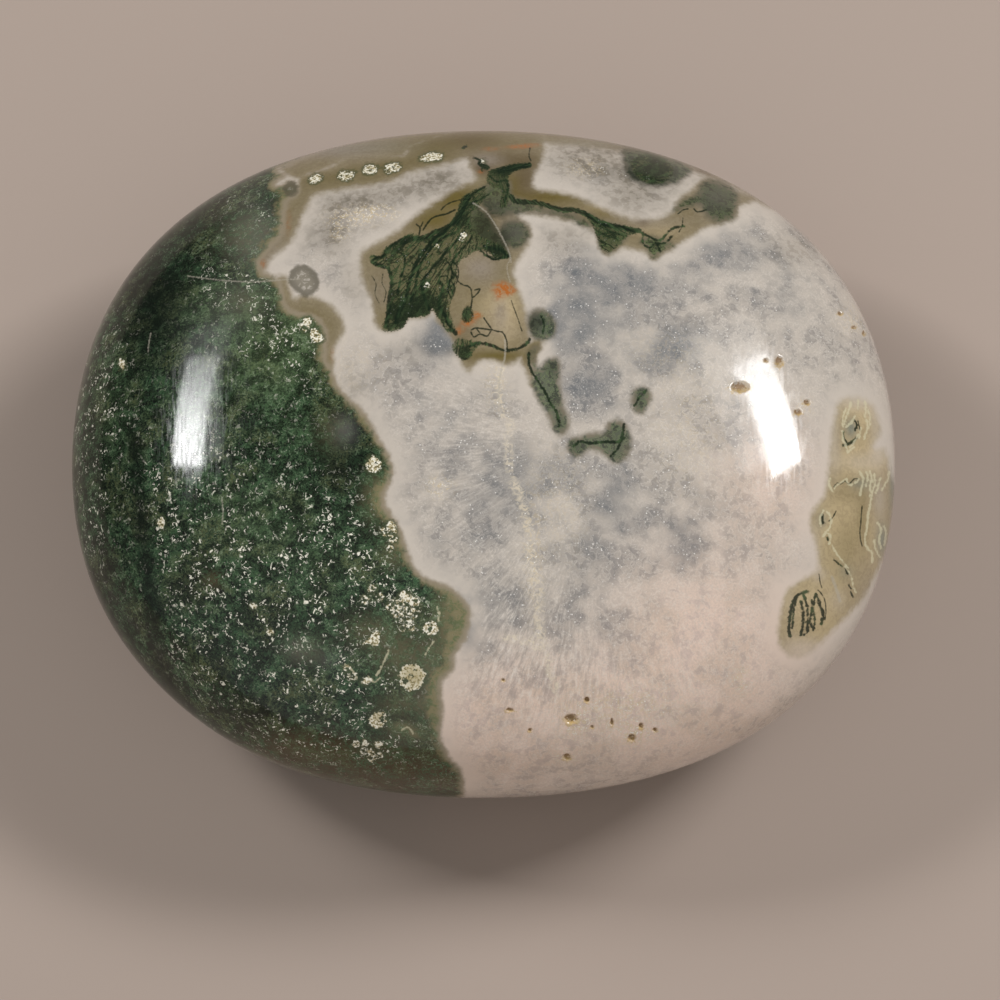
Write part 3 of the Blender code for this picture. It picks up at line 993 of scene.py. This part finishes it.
def linear(colour):
    """A hex sRGB colour as linear red, green, blue and alpha."""
    parts = [int(colour[i : i + 2], 16) / 255 for i in (1, 3, 5)]
    return tuple(c / 12.92 if c <= 0.04045 else ((c + 0.055) / 1.055) ** 2.4 for c in parts) + (1.0,)


def add(tree, kind, *inputs, output=None, **settings):
    """Adds a node, sets it, links or fills its inputs, and gives back the output that is named, or its first.

    The inputs come in the node's own order, or in a dict by name or number. A kind may be one of the pairs
    above, with its settings. A sum or a product of more than two values takes one more node for each.
    """
    if kind in (TIMES, PLUS) and len(inputs) > 2:
        inputs = (add(tree, kind, *inputs[:-1]), inputs[-1])
    if isinstance(kind, tuple):
        kind, settings = kind
    node = tree.nodes.new("ShaderNode" + kind)
    for name, value in settings.items():
        setattr(node, name, value)
    given = inputs[0] if inputs and isinstance(inputs[0], dict) else dict(enumerate(inputs))
    for name, value in given.items():
        socket = node.inputs[name]
        if isinstance(name, str):
            socket = next(s for s in node.inputs if s.enabled and s.name == name)
        if isinstance(value, bpy.types.NodeSocket):
            tree.links.new(value, socket)
        else:
            socket.default_value = linear(value) if isinstance(value, str) else value
    shown = [s for s in node.outputs if s.enabled]
    return next((s for s in shown if output in (None, s.name)), None)


def patches(tree, place, spacing_mm, low, high, detail=3.0, roughness=0.55):
    """Soft natural patches of this spacing, from 0 to 1."""
    grains = {"Vector": place, "Scale": 1 / spacing_mm, "Detail": detail, "Roughness": roughness}
    return add(tree, SOFT_STEP, add(tree, "TexNoise", grains), low, high)


def net(tree, place, spacing_mm, reach, detail=1.0):
    """A net of wandering threads, hair-thin to filled in as the reach grows: 1 on a thread, and 0 between."""
    grains = {"Vector": place, "Scale": 1 / spacing_mm, "Detail": detail, "Roughness": 0.5}
    off = add(tree, "Math", add(tree, "TexNoise", grains), 0.5, operation="SUBTRACT")
    size = add(tree, "Math", off, operation="ABSOLUTE")
    over = add(tree, "Math", reach, size, operation="SUBTRACT")
    return add(tree, SOFT_STEP, over, -0.02, 0.02)


def threads_of(tree, value, width):
    """Thin threads along the lines where a noise passes through its middle: 1 on a thread, and 0 between."""
    off = add(tree, "Math", add(tree, PLUS, value, -0.5), operation="ABSOLUTE")
    return add(tree, SOFT_STEP, off, width, 0.0)


def wander(tree, place, spacing_mm, reach_mm, detail=3.0):
    """A noise that wanders about zero by up to this reach."""
    raw = add(
        tree, "TexNoise", {"Vector": place, "Scale": 1 / spacing_mm, "Detail": detail, "Roughness": 0.6}
    )
    return add(tree, "Math", raw, 4 * reach_mm, -2 * reach_mm, operation="MULTIPLY_ADD")


def warped(tree, place, spacing_mm, reach_mm, detail=2.0):
    """The place moved about by a noise, so that what is drawn there curls."""
    turned = add(
        tree, "TexNoise", {"Vector": place, "Scale": 1 / spacing_mm, "Detail": detail}, output="Color"
    )
    middle = add(tree, "VectorMath", turned, (0.5, 0.5, 0.5), operation="SUBTRACT")
    push = add(tree, "VectorMath", {0: middle, "Scale": 4 * reach_mm}, operation="SCALE")
    return add(tree, "VectorMath", place, push, operation="ADD")


def layered(tree, ground, layers):
    """Lays colours over the ground, each with its mask."""
    for mask, colour in layers:
        ground = add(tree, "Mix", {"Factor": mask, "A": ground, "B": colour}, data_type="RGBA")
    return ground


def milky_chalcedony(tree, place, grain, mark):
    """Milky quartz: an opaque cream rind beside the windows, then grey mottles, frosty wisps, painted glints,
    and painted shade towards the far rim.
    """
    nearest = add(tree, "Math", mark["window"], mark["moss"], operation="MAXIMUM")
    wavy = add(tree, TIMES, add(tree, PLUS, grain["broad"], -0.5), 3.0)
    away = add(tree, SOFT_STEP, add(tree, PLUS, nearest, wavy), -0.1, -2.1)
    broad = add(tree, SOFT_STEP, grain["broad"], 0.36, 0.64)
    mottle = add(tree, SOFT_STEP, grain["mottle"], 0.28, 0.74)
    clots = add(tree, SOFT_STEP, grain["clots"], 0.36, 0.64)
    fine = add(tree, SOFT_STEP, grain["fine"], 0.34, 0.7)
    wisps = add(
        tree, "TexNoise", {"Vector": mark["spokes"], "Scale": 1 / 0.26, "Detail": 3.0, "Roughness": 0.66}
    )
    light_wisps = add(tree, SOFT_STEP, wisps, 0.5, 0.7)
    dark_wisps = add(tree, SOFT_STEP, wisps, 0.52, 0.36)
    plain = add(tree, SOFT_STEP, mark["sand"], 0.0, 1.0, 1.0, 0.35)
    grey = add(
        tree,
        TIMES,
        away,
        add(tree, SOFT_STEP, broad, 0.0, 1.0, 0.15, 0.75),
        add(tree, SOFT_STEP, mottle, 0.0, 1.0, 0.4, 1.0),
        plain,
    )
    granular = add(tree, SOFT_STEP, grain["crumbly"], 0.34, 0.66)
    grey = add(tree, TIMES, grey, add(tree, SOFT_STEP, granular, 0.0, 1.0, 0.7, 1.0))
    drifting = add(
        tree,
        PLUS,
        mark["blue"],
        add(tree, TIMES, grain["broad"], 0.9),
        add(tree, TIMES, grain["clots"], 0.8),
    )
    blue = add(tree, SOFT_STEP, drifting, 0.9, 2.15, 0.0, 0.86)
    frost = add(tree, TIMES, threads_of(tree, grain["crumbly"], 0.045), add(tree, PLUS, grey, blue), 0.18)
    cracked = add(tree, SOFT_STEP, mark["blue"], 0.2, 0.9, 0.4, 0.1)
    crackle = add(tree, TIMES, threads_of(tree, grain["mottle"], 0.04), away, cracked)
    some = add(tree, SOFT_STEP, add(tree, PLUS, clots, fine), 0.7, 1.7)
    twinkling = add(tree, SOFT_STEP, add(tree, PLUS, grey, blue), 0.1, 0.7, 0.05, 1.0)
    twinkling = add(tree, PLUS, twinkling, mark["crystal"])
    # Painted glints: small bright points over the milky stone, more where it is grey or blue
    painted_sparkle = add(tree, TIMES, add(tree, SOFT_STEP, grain["dots"], 0.24, 0.1), some, twinkling)
    crystals = add(tree, TIMES, mark["crystal"], add(tree, SOFT_STEP, grain["crumbly"], 0.46, 0.6))
    # Painted glints on the crystal clusters
    glints = add(tree, TIMES, crystals, add(tree, SOFT_STEP, grain["fine"], 0.52, 0.62))
    hue = add(tree, SOFT_STEP, grain["broad"], 0.4, 0.6)
    mauve = add(tree, SOFT_STEP, add(tree, PLUS, grain["clots"], grain["mottle"]), 1.02, 1.22)
    vein_edge = add(tree, PLUS, mark["vein"], add(tree, TIMES, grain["crumbly"], 0.6), -0.3)
    vein = add(
        tree,
        TIMES,
        add(tree, SOFT_STEP, vein_edge, -0.22, 0.22),
        add(tree, SOFT_STEP, grain["mottle"], 0.34, 0.58, 0.25, 1.0),
    )
    return layered(
        tree,
        linear(MILK),
        [
            (add(tree, TIMES, mark["sand"], 0.75), MILK_WARM),
            (add(tree, TIMES, mark["sand"], away, hue, 0.2), MILK_GOLD),
            (add(tree, TIMES, mark["sand"], away, mauve, 0.28), MILK_MAUVE),
            (grey, MILK_DEEP),
            (blue, BLUE_GREY),
            (frost, MILK_PALE),
            (crackle, MILK_PALE),
            (add(tree, TIMES, dark_wisps, mark["fibre"], away, 0.45), MILK_DEEP),
            (add(tree, TIMES, light_wisps, mark["fibre"], away, 0.7), MILK_PALE),
            (add(tree, TIMES, mark["sand"], 0.15), MILK_WARM),
            # Painted shade towards the far rim, and darker stone about the crystals, where the shade mark
            # lies
            (
                add(tree, TIMES, mark["shade"], add(tree, SOFT_STEP, mottle, 0.0, 1.0, 0.45, 0.95)),
                MILK_SHADE,
            ),
            (add(tree, TIMES, vein, add(tree, SOFT_STEP, grain["crumbly"], 0.4, 0.6, 0.25, 0.8)), VEIN),
            (add(tree, TIMES, crystals, 0.75), CRYSTAL),
            # Painted glints on the crystal clusters
            (add(tree, TIMES, glints, 0.9), PAINTED_GLINT),
            (add(tree, TIMES, fine, away, 0.15), MILK_DEEP),
            # Painted glints over the milky stone
            (add(tree, TIMES, painted_sparkle, 0.9), PAINTED_GLINT),
        ],
    )


def window_chalcedony(tree, tremble, grain, mark):
    """Clear tan chalcedony: grey-tan at its edge, faintly banded, stained olive, brown and rusty by iron."""
    inward = add(tree, PLUS, mark["window"], tremble)
    deep = add(tree, SOFT_STEP, inward, 0.0, 1.0)
    bands = add(tree, "Math", add(tree, TIMES, inward, 17.0), operation="SINE")
    bands = add(
        tree, TIMES, add(tree, SOFT_STEP, bands, -1.0, 1.0), add(tree, SOFT_STEP, inward, 1.2, 0.3), 0.08
    )
    drift = add(tree, SOFT_STEP, grain["mottle"], 0.35, 0.7)
    crumbly = add(tree, SOFT_STEP, grain["crumbly"], 0.38, 0.62)
    dust = add(tree, SOFT_STEP, add(tree, PLUS, drift, crumbly), 0.6, 1.6)
    rust = add(tree, SOFT_STEP, mark["rust"], 0.1, 0.9)
    rust_grain = add(tree, SOFT_STEP, crumbly, 0.0, 1.0, 0.45, 1.0)
    return layered(
        tree,
        linear(TAN_EDGE),
        [
            (deep, TAN),
            (add(tree, TIMES, drift, 0.45), TAN_PALE),
            (add(tree, TIMES, add(tree, SOFT_STEP, grain["clots"], 0.5, 0.66), deep, 0.25), OLIVE),
            (add(tree, TIMES, mark["straw"], 0.9), STRAW),
            (add(tree, TIMES, mark["olive"], 0.9), OLIVE),
            (add(tree, TIMES, mark["brown"], 0.8), BROWN),
            (add(tree, TIMES, mark["fog"], 0.9), FOG),
            (add(tree, TIMES, mark["mist"], 0.9), MIST),
            (bands, BROWN),
            (add(tree, TIMES, dust, 0.16), BROWN),
            (add(tree, TIMES, rust, rust_grain), RUST),
        ],
    )


def veil_colour(tree, grain):
    """The olive veil over the moss, with green tufts that show through it."""
    tufts = add(tree, SOFT_STEP, add(tree, PLUS, grain["mottle"], grain["crumbly"]), 0.9, 1.15)
    flecks = add(tree, SOFT_STEP, add(tree, PLUS, grain["fine"], grain["crumbly"]), 1.04, 1.22)
    return layered(
        tree,
        linear(MOSS_VEIL),
        [(add(tree, TIMES, tufts, 0.8), VEIL_GREEN), (add(tree, TIMES, flecks, 0.25), MOSS_RIM)],
    )


def moss_body(tree, place, grain, mark):
    """Dense green moss in dark chalcedony: near-black depths, green tufts, fine hairs and cream flecks."""
    depths = add(tree, SOFT_STEP, grain["clots"], 0.36, 0.64)
    tangled = warped(tree, place, 0.30, 0.10, detail=0.0)
    fluff = add(tree, "TexNoise", {"Vector": tangled, "Scale": 1 / 0.2, "Detail": 2.0, "Roughness": 0.7})
    tufts = add(
        tree,
        PLUS,
        add(tree, TIMES, grain["mottle"], 0.32),
        add(tree, TIMES, fluff, 0.4),
        add(tree, TIMES, grain["fine"], 0.28),
    )
    tufts = add(tree, SOFT_STEP, tufts, 0.45, 0.58)
    threads = threads_of(tree, fluff, 0.045)
    hairs = net(tree, tangled, 0.46, 0.026)
    clusters = patches(tree, place, 0.9, 0.46, 0.60, detail=1.0, roughness=0.65)
    bits = add(tree, SOFT_STEP, grain["crumbly"], 0.5, 0.58)
    upright = add(tree, "VectorMath", tangled, (1.0, 0.42, 1.0), operation="MULTIPLY")
    crumbs = add(
        tree, "TexVoronoi", {"Vector": upright, "Scale": CRUMBS_PER_MM}, output="Distance", feature="F1"
    )
    crumbs = add(tree, SOFT_STEP, crumbs, 0.27, 0.15)
    clear = add(tree, SOFT_STEP, mark["veil"], 0.0, 1.0, 1.0, 0.25)
    # Lit is less where the shade mark lies: painted shade down the moss's left side and along the crease, and
    # darker stone
    lit = add(tree, SOFT_STEP, mark["shade"], 0.0, 1.0, 1.0, 0.15)
    plenty = add(
        tree, TIMES, add(tree, SOFT_STEP, mark["speck"], 0.0, 0.8, 0.15, 1.0), lit, clear, clusters
    )
    lush = add(
        tree,
        TIMES,
        mark["lush"],
        add(tree, SOFT_STEP, add(tree, PLUS, depths, tufts), 0.2, 1.8, 0.25, 1.0),
    )
    standing = add(tree, SOFT_STEP, depths, 0.0, 1.0, 0.45, 1.0)
    thread_share = add(tree, SOFT_STEP, depths, 0.0, 1.0, 0.25, 0.6)
    hair_share = add(tree, SOFT_STEP, add(tree, PLUS, tufts, depths), 0.6, 1.8, 0.0, 0.45)
    green = layered(tree, linear(MOSS_GREEN), [(add(tree, SOFT_STEP, grain["broad"], 0.45, 0.62), MOSS_OLIVE)]
    )
    return layered(
        tree,
        linear(MOSS_BLACK),
        [
            (add(tree, TIMES, depths, lit, 0.9), MOSS_DEEP),
            (add(tree, TIMES, mark["brown"], 0.8), BROWN),
            (add(tree, TIMES, tufts, standing, lit, clear, 0.85), green),
            (add(tree, TIMES, lush, 0.8), MOSS_LUSH),
            (add(tree, TIMES, mark["fog"], 0.75), FOG_IN_MOSS),
            (add(tree, TIMES, mark["veil"], 0.75), veil_colour(tree, grain)),
            (add(tree, TIMES, threads, thread_share, lit), MOSS_THREAD),
            (add(tree, TIMES, hairs, hair_share, lit), MOSS_LIGHT),
            (add(tree, TIMES, hairs, bits, plenty), CREAM),
            (add(tree, TIMES, crumbs, plenty), CREAM),
        ],
    )


def plume_green(tree, combed, thin):
    """The green of moss strands, darker and lighter along them, and nearly black where they are thickest."""
    tones = patches(tree, combed, 0.19, 0.44, 0.72, detail=2.0)
    return layered(tree, linear(PLUME_DARK), [(add(tree, TIMES, tones, thin, 0.85), PLUME_GREEN)])


def plume_net(tree, curled, combed, mark):
    """A net of fine strands that spread from one root, and fill in where the plume is dense."""
    reach = add(tree, SOFT_STEP, mark["dense"], 0.0, 1.0, 0.055, 0.2)
    crossed = net(tree, curled, 0.44, add(tree, TIMES, reach, 0.5))
    return add(tree, "Math", net(tree, combed, 0.28, reach), crossed, operation="MAXIMUM")


def haze_body(tree, grain, mark):
    """Green blobs under milky stone: a brownish rim, and darker and lighter threads where moss is thick."""
    blots = add(tree, SOFT_STEP, grain["mottle"], 0.36, 0.66)
    core = add(tree, SOFT_STEP, add(tree, PLUS, mark["haze"], add(tree, TIMES, blots, 0.5)), 0.15, 0.75)
    strands = threads_of(tree, grain["crumbly"], 0.055)
    return layered(
        tree,
        linear(HAZE_RIM),
        [
            (core, HAZE_GREEN),
            (add(tree, TIMES, core, add(tree, SOFT_STEP, grain["mottle"], 0.46, 0.56), 0.75), PLUME_DARK),
            (add(tree, TIMES, core, strands, 0.6), HAZE_LIGHT),
            (add(tree, TIMES, core, threads_of(tree, grain["mottle"], 0.03), 0.7), HAZE_LIGHT),
            (add(tree, TIMES, mark["fog"], 0.75), HAZE_GREY),
            (add(tree, TIMES, mark["olive"], 0.75), HAZE_RIM),
            # Darker where the shade mark lies: the blobs' own dark stone, and painted shade near the far rim
            (add(tree, TIMES, mark["shade"], add(tree, SOFT_STEP, blots, 0.0, 1.0, 0.75, 1.0)), PLUME_DARK),
        ],
    )


def eye_body(tree, grain, mark):
    """Eyes: round grey spots with a dark ring."""
    grains = add(tree, SOFT_STEP, grain["crumbly"], 0.5, 0.7)
    middle = add(tree, SOFT_STEP, mark["eye"], 0.25, 0.7)
    return layered(
        tree,
        linear(EYE_RING),
        [(middle, EYE_MIDDLE), (add(tree, TIMES, middle, grains, 0.45), MILK_PALE)],
    )


def cream_body(tree, grain, mark):
    """Cream crystals, dull in the hollows between their points, and tan where iron has stained them."""
    grains = add(tree, PLUS, add(tree, TIMES, grain["fine"], 0.6), add(tree, TIMES, grain["crumbly"], 0.4))
    clean = add(tree, SOFT_STEP, mark["straw"], 0.0, 1.0, 1.0, 0.2)
    return layered(
        tree,
        linear(CREAM_DULL),
        [
            (add(tree, SOFT_STEP, grains, 0.34, 0.48), CREAM_TAN),
            (add(tree, TIMES, add(tree, SOFT_STEP, grains, 0.44, 0.57), clean), CREAM),
        ],
    )


def polished_moss_agate():
    """Polished moss agate: a glassy skin over colour at several depths in clear and milky quartz."""
    material = bpy.data.materials.new("polished_moss_agate")
    material.use_nodes = True
    tree = material.node_tree
    shader = tree.nodes["Principled BSDF"]
    own = add(tree, "TexCoord", output="Object")
    place = add(tree, "VectorMath", {0: own, "Scale": 1000.0}, operation="SCALE")
    curled = warped(tree, place, 0.40, 0.14, detail=0.0)
    dots = {"Vector": place, "Scale": DOTS_PER_MM}
    grain = {"dots": add(tree, "TexVoronoi", dots, output="Distance", feature="F1")}
    for name, (curls, spacing_mm, detail, roughness) in GRAINS.items():
        start = curled if curls else place
        grains = {"Vector": start, "Scale": 1 / spacing_mm, "Detail": detail, "Roughness": roughness}
        grain[name] = add(tree, "TexNoise", grains)
    mark = {name: add(tree, "Attribute", output="Fac", attribute_name=name) for name in DEPTHS_AND_SHARES}
    mark["fan"] = add(tree, "Attribute", output="Vector", attribute_name="fan")
    mark["spokes"] = add(tree, "Attribute", output="Vector", attribute_name="spokes")
    tremble = wander(tree, place, 0.6, 0.12, detail=2.0)
    frayed = add(tree, "Math", grain["fine"], 0.24, -0.12, operation="MULTIPLY_ADD")
    ragged = wander(tree, place, 0.26, 0.07, detail=1.0)
    window_edge = add(tree, PLUS, mark["window"], tremble)
    solid = add(tree, SOFT_STEP, mark["faint"], 0.0, 1.0, 1.0, 0.35)
    moss_edge = add(tree, PLUS, mark["moss"], tremble)
    thinning = add(tree, TIMES, mark["veil"], -0.7)
    lumps = add(
        tree, PLUS, add(tree, TIMES, grain["clots"], 1.1), add(tree, TIMES, grain["mottle"], 0.9), -1.0
    )
    moss_thick = add(tree, PLUS, mark["moss"], lumps, thinning)
    veiled = add(tree, SOFT_STEP, add(tree, PLUS, mark["moss"], tremble), 0.05, 0.6)
    moss_rim = layered(tree, linear(MOSS_RIM), [(veiled, veil_colour(tree, grain))])
    haze_edge = add(tree, SOFT_STEP, add(tree, PLUS, mark["haze"], tremble), -0.32, 0.26)
    eye_edge = add(tree, SOFT_STEP, add(tree, PLUS, mark["eye"], tremble), -0.15, 0.15)
    twig_edge = add(tree, PLUS, mark["twig"], add(tree, TIMES, ragged, 0.35))
    crack_edge = add(tree, PLUS, mark["crack"], add(tree, TIMES, frayed, 0.6))
    cream_edge = add(
        tree, PLUS, mark["cream"], add(tree, TIMES, frayed, 1.2), add(tree, TIMES, ragged, 1.5)
    )
    line_edge = add(tree, PLUS, mark["line"], ragged)
    combed = warped(tree, mark["fan"], 0.6, 0.12, detail=0.0)
    thin = add(tree, SOFT_STEP, mark["dense"], 0.0, 1.0, 1.0, 0.35)
    green = plume_green(tree, combed, thin)
    plume_edge = add(
        tree, SOFT_STEP, add(tree, PLUS, mark["plume"], add(tree, TIMES, frayed, 1.5)), -0.1, 0.06
    )
    plume_tint = add(tree, TIMES, plume_edge, add(tree, SOFT_STEP, mark["dense"], 0.0, 1.0, 0.65, 0.95))
    strands = add(tree, TIMES, plume_edge, plume_net(tree, curled, combed, mark), 0.85)
    # Painted glints, which the plumes show
    glints = add(
        tree,
        TIMES,
        add(tree, SOFT_STEP, grain["dots"], 0.2, 0.1),
        add(tree, SOFT_STEP, grain["clots"], 0.5, 0.64),
    )
    stem_edge = add(tree, PLUS, mark["stem"], ragged)
    pit_edge = add(tree, PLUS, mark["pit"], add(tree, TIMES, frayed, 2.4), add(tree, TIMES, ragged, 3.2))
    pitted = add(tree, SOFT_STEP, pit_edge, 0.56, 0.78)
    # Golden crumbs on each pit's near side, and the pit's brown far side turning tan towards the near side:
    # painted light and shade over its stain
    crumbled = add(
        tree,
        TIMES,
        add(tree, SOFT_STEP, pit_edge, 0.25, 0.55),
        add(tree, SOFT_STEP, mark["golden"], -0.8, 0.8, 0.1, 0.6),
    )
    worn = add(tree, PLUS, mark["golden"], add(tree, TIMES, frayed, 6.0))
    pit_colour = layered(tree, linear(PIT_BROWN), [(add(tree, SOFT_STEP, worn, 0.1, 0.9), PIT_TAN)])
    colour = layered(
        tree,
        milky_chalcedony(tree, place, grain, mark),
        [
            (
                add(tree, TIMES, add(tree, SOFT_STEP, window_edge, -0.38, 0.28), solid),
                window_chalcedony(tree, tremble, grain, mark),
            ),
            (add(tree, SOFT_STEP, moss_edge, -0.28, 0.16), moss_rim),
            (add(tree, SOFT_STEP, moss_thick, 0.05, 0.75), moss_body(tree, place, grain, mark)),
            (add(tree, TIMES, haze_edge, 0.88), haze_body(tree, grain, mark)),
            (add(tree, TIMES, eye_edge, 0.8), eye_body(tree, grain, mark)),
            (add(tree, TIMES, add(tree, SOFT_STEP, cream_edge, -0.3, -0.04), 0.7), CREAM_HALO),
            (plume_tint, PLUME_TINT),
            (add(tree, TIMES, plume_edge, mark["dense"], 0.55), PLUME_DARK),
            (strands, green),
            (add(tree, TIMES, plume_edge, threads_of(tree, grain["crumbly"], 0.04), thin, 0.4), HAZE_LIGHT),
            (add(tree, TIMES, add(tree, SOFT_STEP, stem_edge, -0.06, 0.06), 0.92), green),
            # Painted glints on the plumes
            (add(tree, TIMES, plume_edge, glints, 0.22), PAINTED_GLINT),
            (add(tree, TIMES, add(tree, SOFT_STEP, twig_edge, -0.04, 0.04), 0.9), PLUME_DARK),
            (add(tree, TIMES, add(tree, SOFT_STEP, line_edge, -0.05, 0.05), 0.65), CREAM_LINE),
            (add(tree, TIMES, add(tree, SOFT_STEP, crack_edge, -0.05, 0.05), 0.5), CRACK),
            (add(tree, SOFT_STEP, cream_edge, -0.06, 0.06), cream_body(tree, grain, mark)),
            # Pits: painted light on the near side and painted shade on the far side, over the tan stain
            (crumbled, PIT_TAN),
            (add(tree, TIMES, pitted, 0.85), pit_colour),
        ],
    )
    streaks = add(tree, "VectorMath", place, (3.0, 0.35, 1.0), operation="MULTIPLY")
    rub = patches(tree, streaks, 0.5, 0.35, 0.70, detail=2.0)
    rough = add(tree, PLUS, add(tree, SOFT_STEP, rub, 0.0, 1.0, 0.06, 0.17), add(tree, TIMES, pitted, 0.5))
    tree.links.new(colour, shader.inputs["Base Color"])
    tree.links.new(rough, shader.inputs["Roughness"])
    shader.inputs["IOR"].default_value = STONE_IOR
    shader.inputs["Specular IOR Level"].default_value = STONE_SHEEN
    return material


def plain_material(name, colour, roughness):
    material = bpy.data.materials.new(name)
    material.use_nodes = True
    shader = material.node_tree.nodes["Principled BSDF"]
    shader.inputs["Base Color"].default_value = linear(colour)
    shader.inputs["Roughness"].default_value = roughness
    return material


def make_floor():
    """A wide level sheet of matt pale card, which gives the eye a quiet ground."""
    data = bpy.data.meshes.new("floor")
    turns = ((-1, -1), (1, -1), (1, 1), (-1, 1))
    corners = [(x * FLOOR_HALF_SIDE, y * FLOOR_HALF_SIDE, cad_low.z) for x, y in turns]
    data.from_pydata(corners, [], [(0, 1, 2, 3)])
    data.materials.append(plain_material("matt_pale_card", FLOOR_COLOUR, 0.9))
    floor = bpy.data.objects.new("floor", data)
    bpy.context.scene.collection.objects.link(floor)


def make_camera():
    data = bpy.data.cameras.new("camera")
    data.sensor_width = SENSOR_MM
    data.lens = SENSOR_MM * FOCAL_PX / PICTURE_SIZE
    data.clip_start = 0.01
    data.clip_end = 20.0
    camera = bpy.data.objects.new("camera", data)
    camera.location = view_place()
    camera.rotation_euler = (math.pi / 2 - VIEW_ELEVATION, 0, 0)
    bpy.context.scene.collection.objects.link(camera)
    bpy.context.scene.camera = camera


def mirrored_ray(stone, pixel):
    """The place on the stone that shows at a pixel, and the direction that it mirrors towards the camera."""
    places = np.array([vert.co for vert in stone.data.vertices])
    normals = np.array([vert.normal for vert in stone.data.vertices])
    to_camera = view_place() - places
    facing = (normals * to_camera).sum(axis=1) > 0
    gap = np.where(facing, np.linalg.norm(in_picture(places) - np.array(pixel), axis=1), np.inf)
    spot = int(np.argmin(gap))
    sight = to_camera[spot] / np.linalg.norm(to_camera[spot])
    return places[spot], 2 * (normals[spot] @ sight) * normals[spot] - sight


def make_softbox(name, stone, middle, end, size, power, fade):
    """A rectangular softbox, hung where the polished stone mirrors it, its long side turned towards the end.

    It is dimmer towards its far end, because its lamp stands behind the other corner.
    """
    spot, away = mirrored_ray(stone, middle)
    end_spot, end_away = mirrored_ray(stone, end)
    place = spot + away * LIGHT_DISTANCE
    along = end_spot + end_away * LIGHT_DISTANCE - place
    along -= away * (along @ away)
    along /= np.linalg.norm(along)
    across = np.cross(along, away)
    data = bpy.data.lights.new(name, "AREA")
    data.shape = "RECTANGLE"
    data.size, data.size_y = size
    data.energy = power
    data.use_nodes = True
    tree = data.node_tree
    cloth = add(tree, "SeparateXYZ", add(tree, "NewGeometry", output="Parametric"), output="Y")
    tree.links.new(add(tree, SOFT_STEP, cloth, 0.0, 1.0, *fade), tree.nodes["Emission"].inputs["Strength"])
    light = bpy.data.objects.new(name, data)
    turned = Matrix((across, along, away)).transposed()
    light.matrix_world = Matrix.Translation(place) @ turned.to_4x4()
    bpy.context.scene.collection.objects.link(light)


def make_light(stone):
    """Softboxes that the polish mirrors, and a soft room, brighter in front, as a pale wall makes it."""
    world = bpy.data.worlds.new("soft_room")
    world.use_nodes = True
    tree = world.node_tree
    direction = add(tree, "TexCoord", output="Generated")
    front = add(tree, "VectorMath", direction, ROOM_FRONT, output="Value", operation="DOT_PRODUCT")
    strength = add(tree, SOFT_STEP, front, -0.1, 0.9, ROOM_DIM, ROOM_BRIGHT)
    tree.nodes["Background"].inputs["Color"].default_value = linear(WORLD_COLOUR)
    tree.links.new(strength, tree.nodes["Background"].inputs["Strength"])
    bpy.context.scene.world = world
    for name, softbox in SOFTBOXES.items():
        make_softbox(name, stone, *softbox)


cad_stone_low, cad_stone_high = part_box("moss_agate_stone")
STONE_MIDDLE = np.array(
    [
        (cad_stone_low.x + cad_stone_high.x) / 2,
        (cad_stone_low.y + cad_stone_high.y) / 2,
        cad_stone_low.z + HALF_THICKNESS - SEAT_DEPTH,
    ]
)
stone = make_stone()
stone.data.materials.append(polished_moss_agate())
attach(stone, "root")
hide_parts("moss_agate_stone")
make_floor()
make_camera()
make_light(stone)
bpy.context.scene.view_settings.view_transform = "Standard"
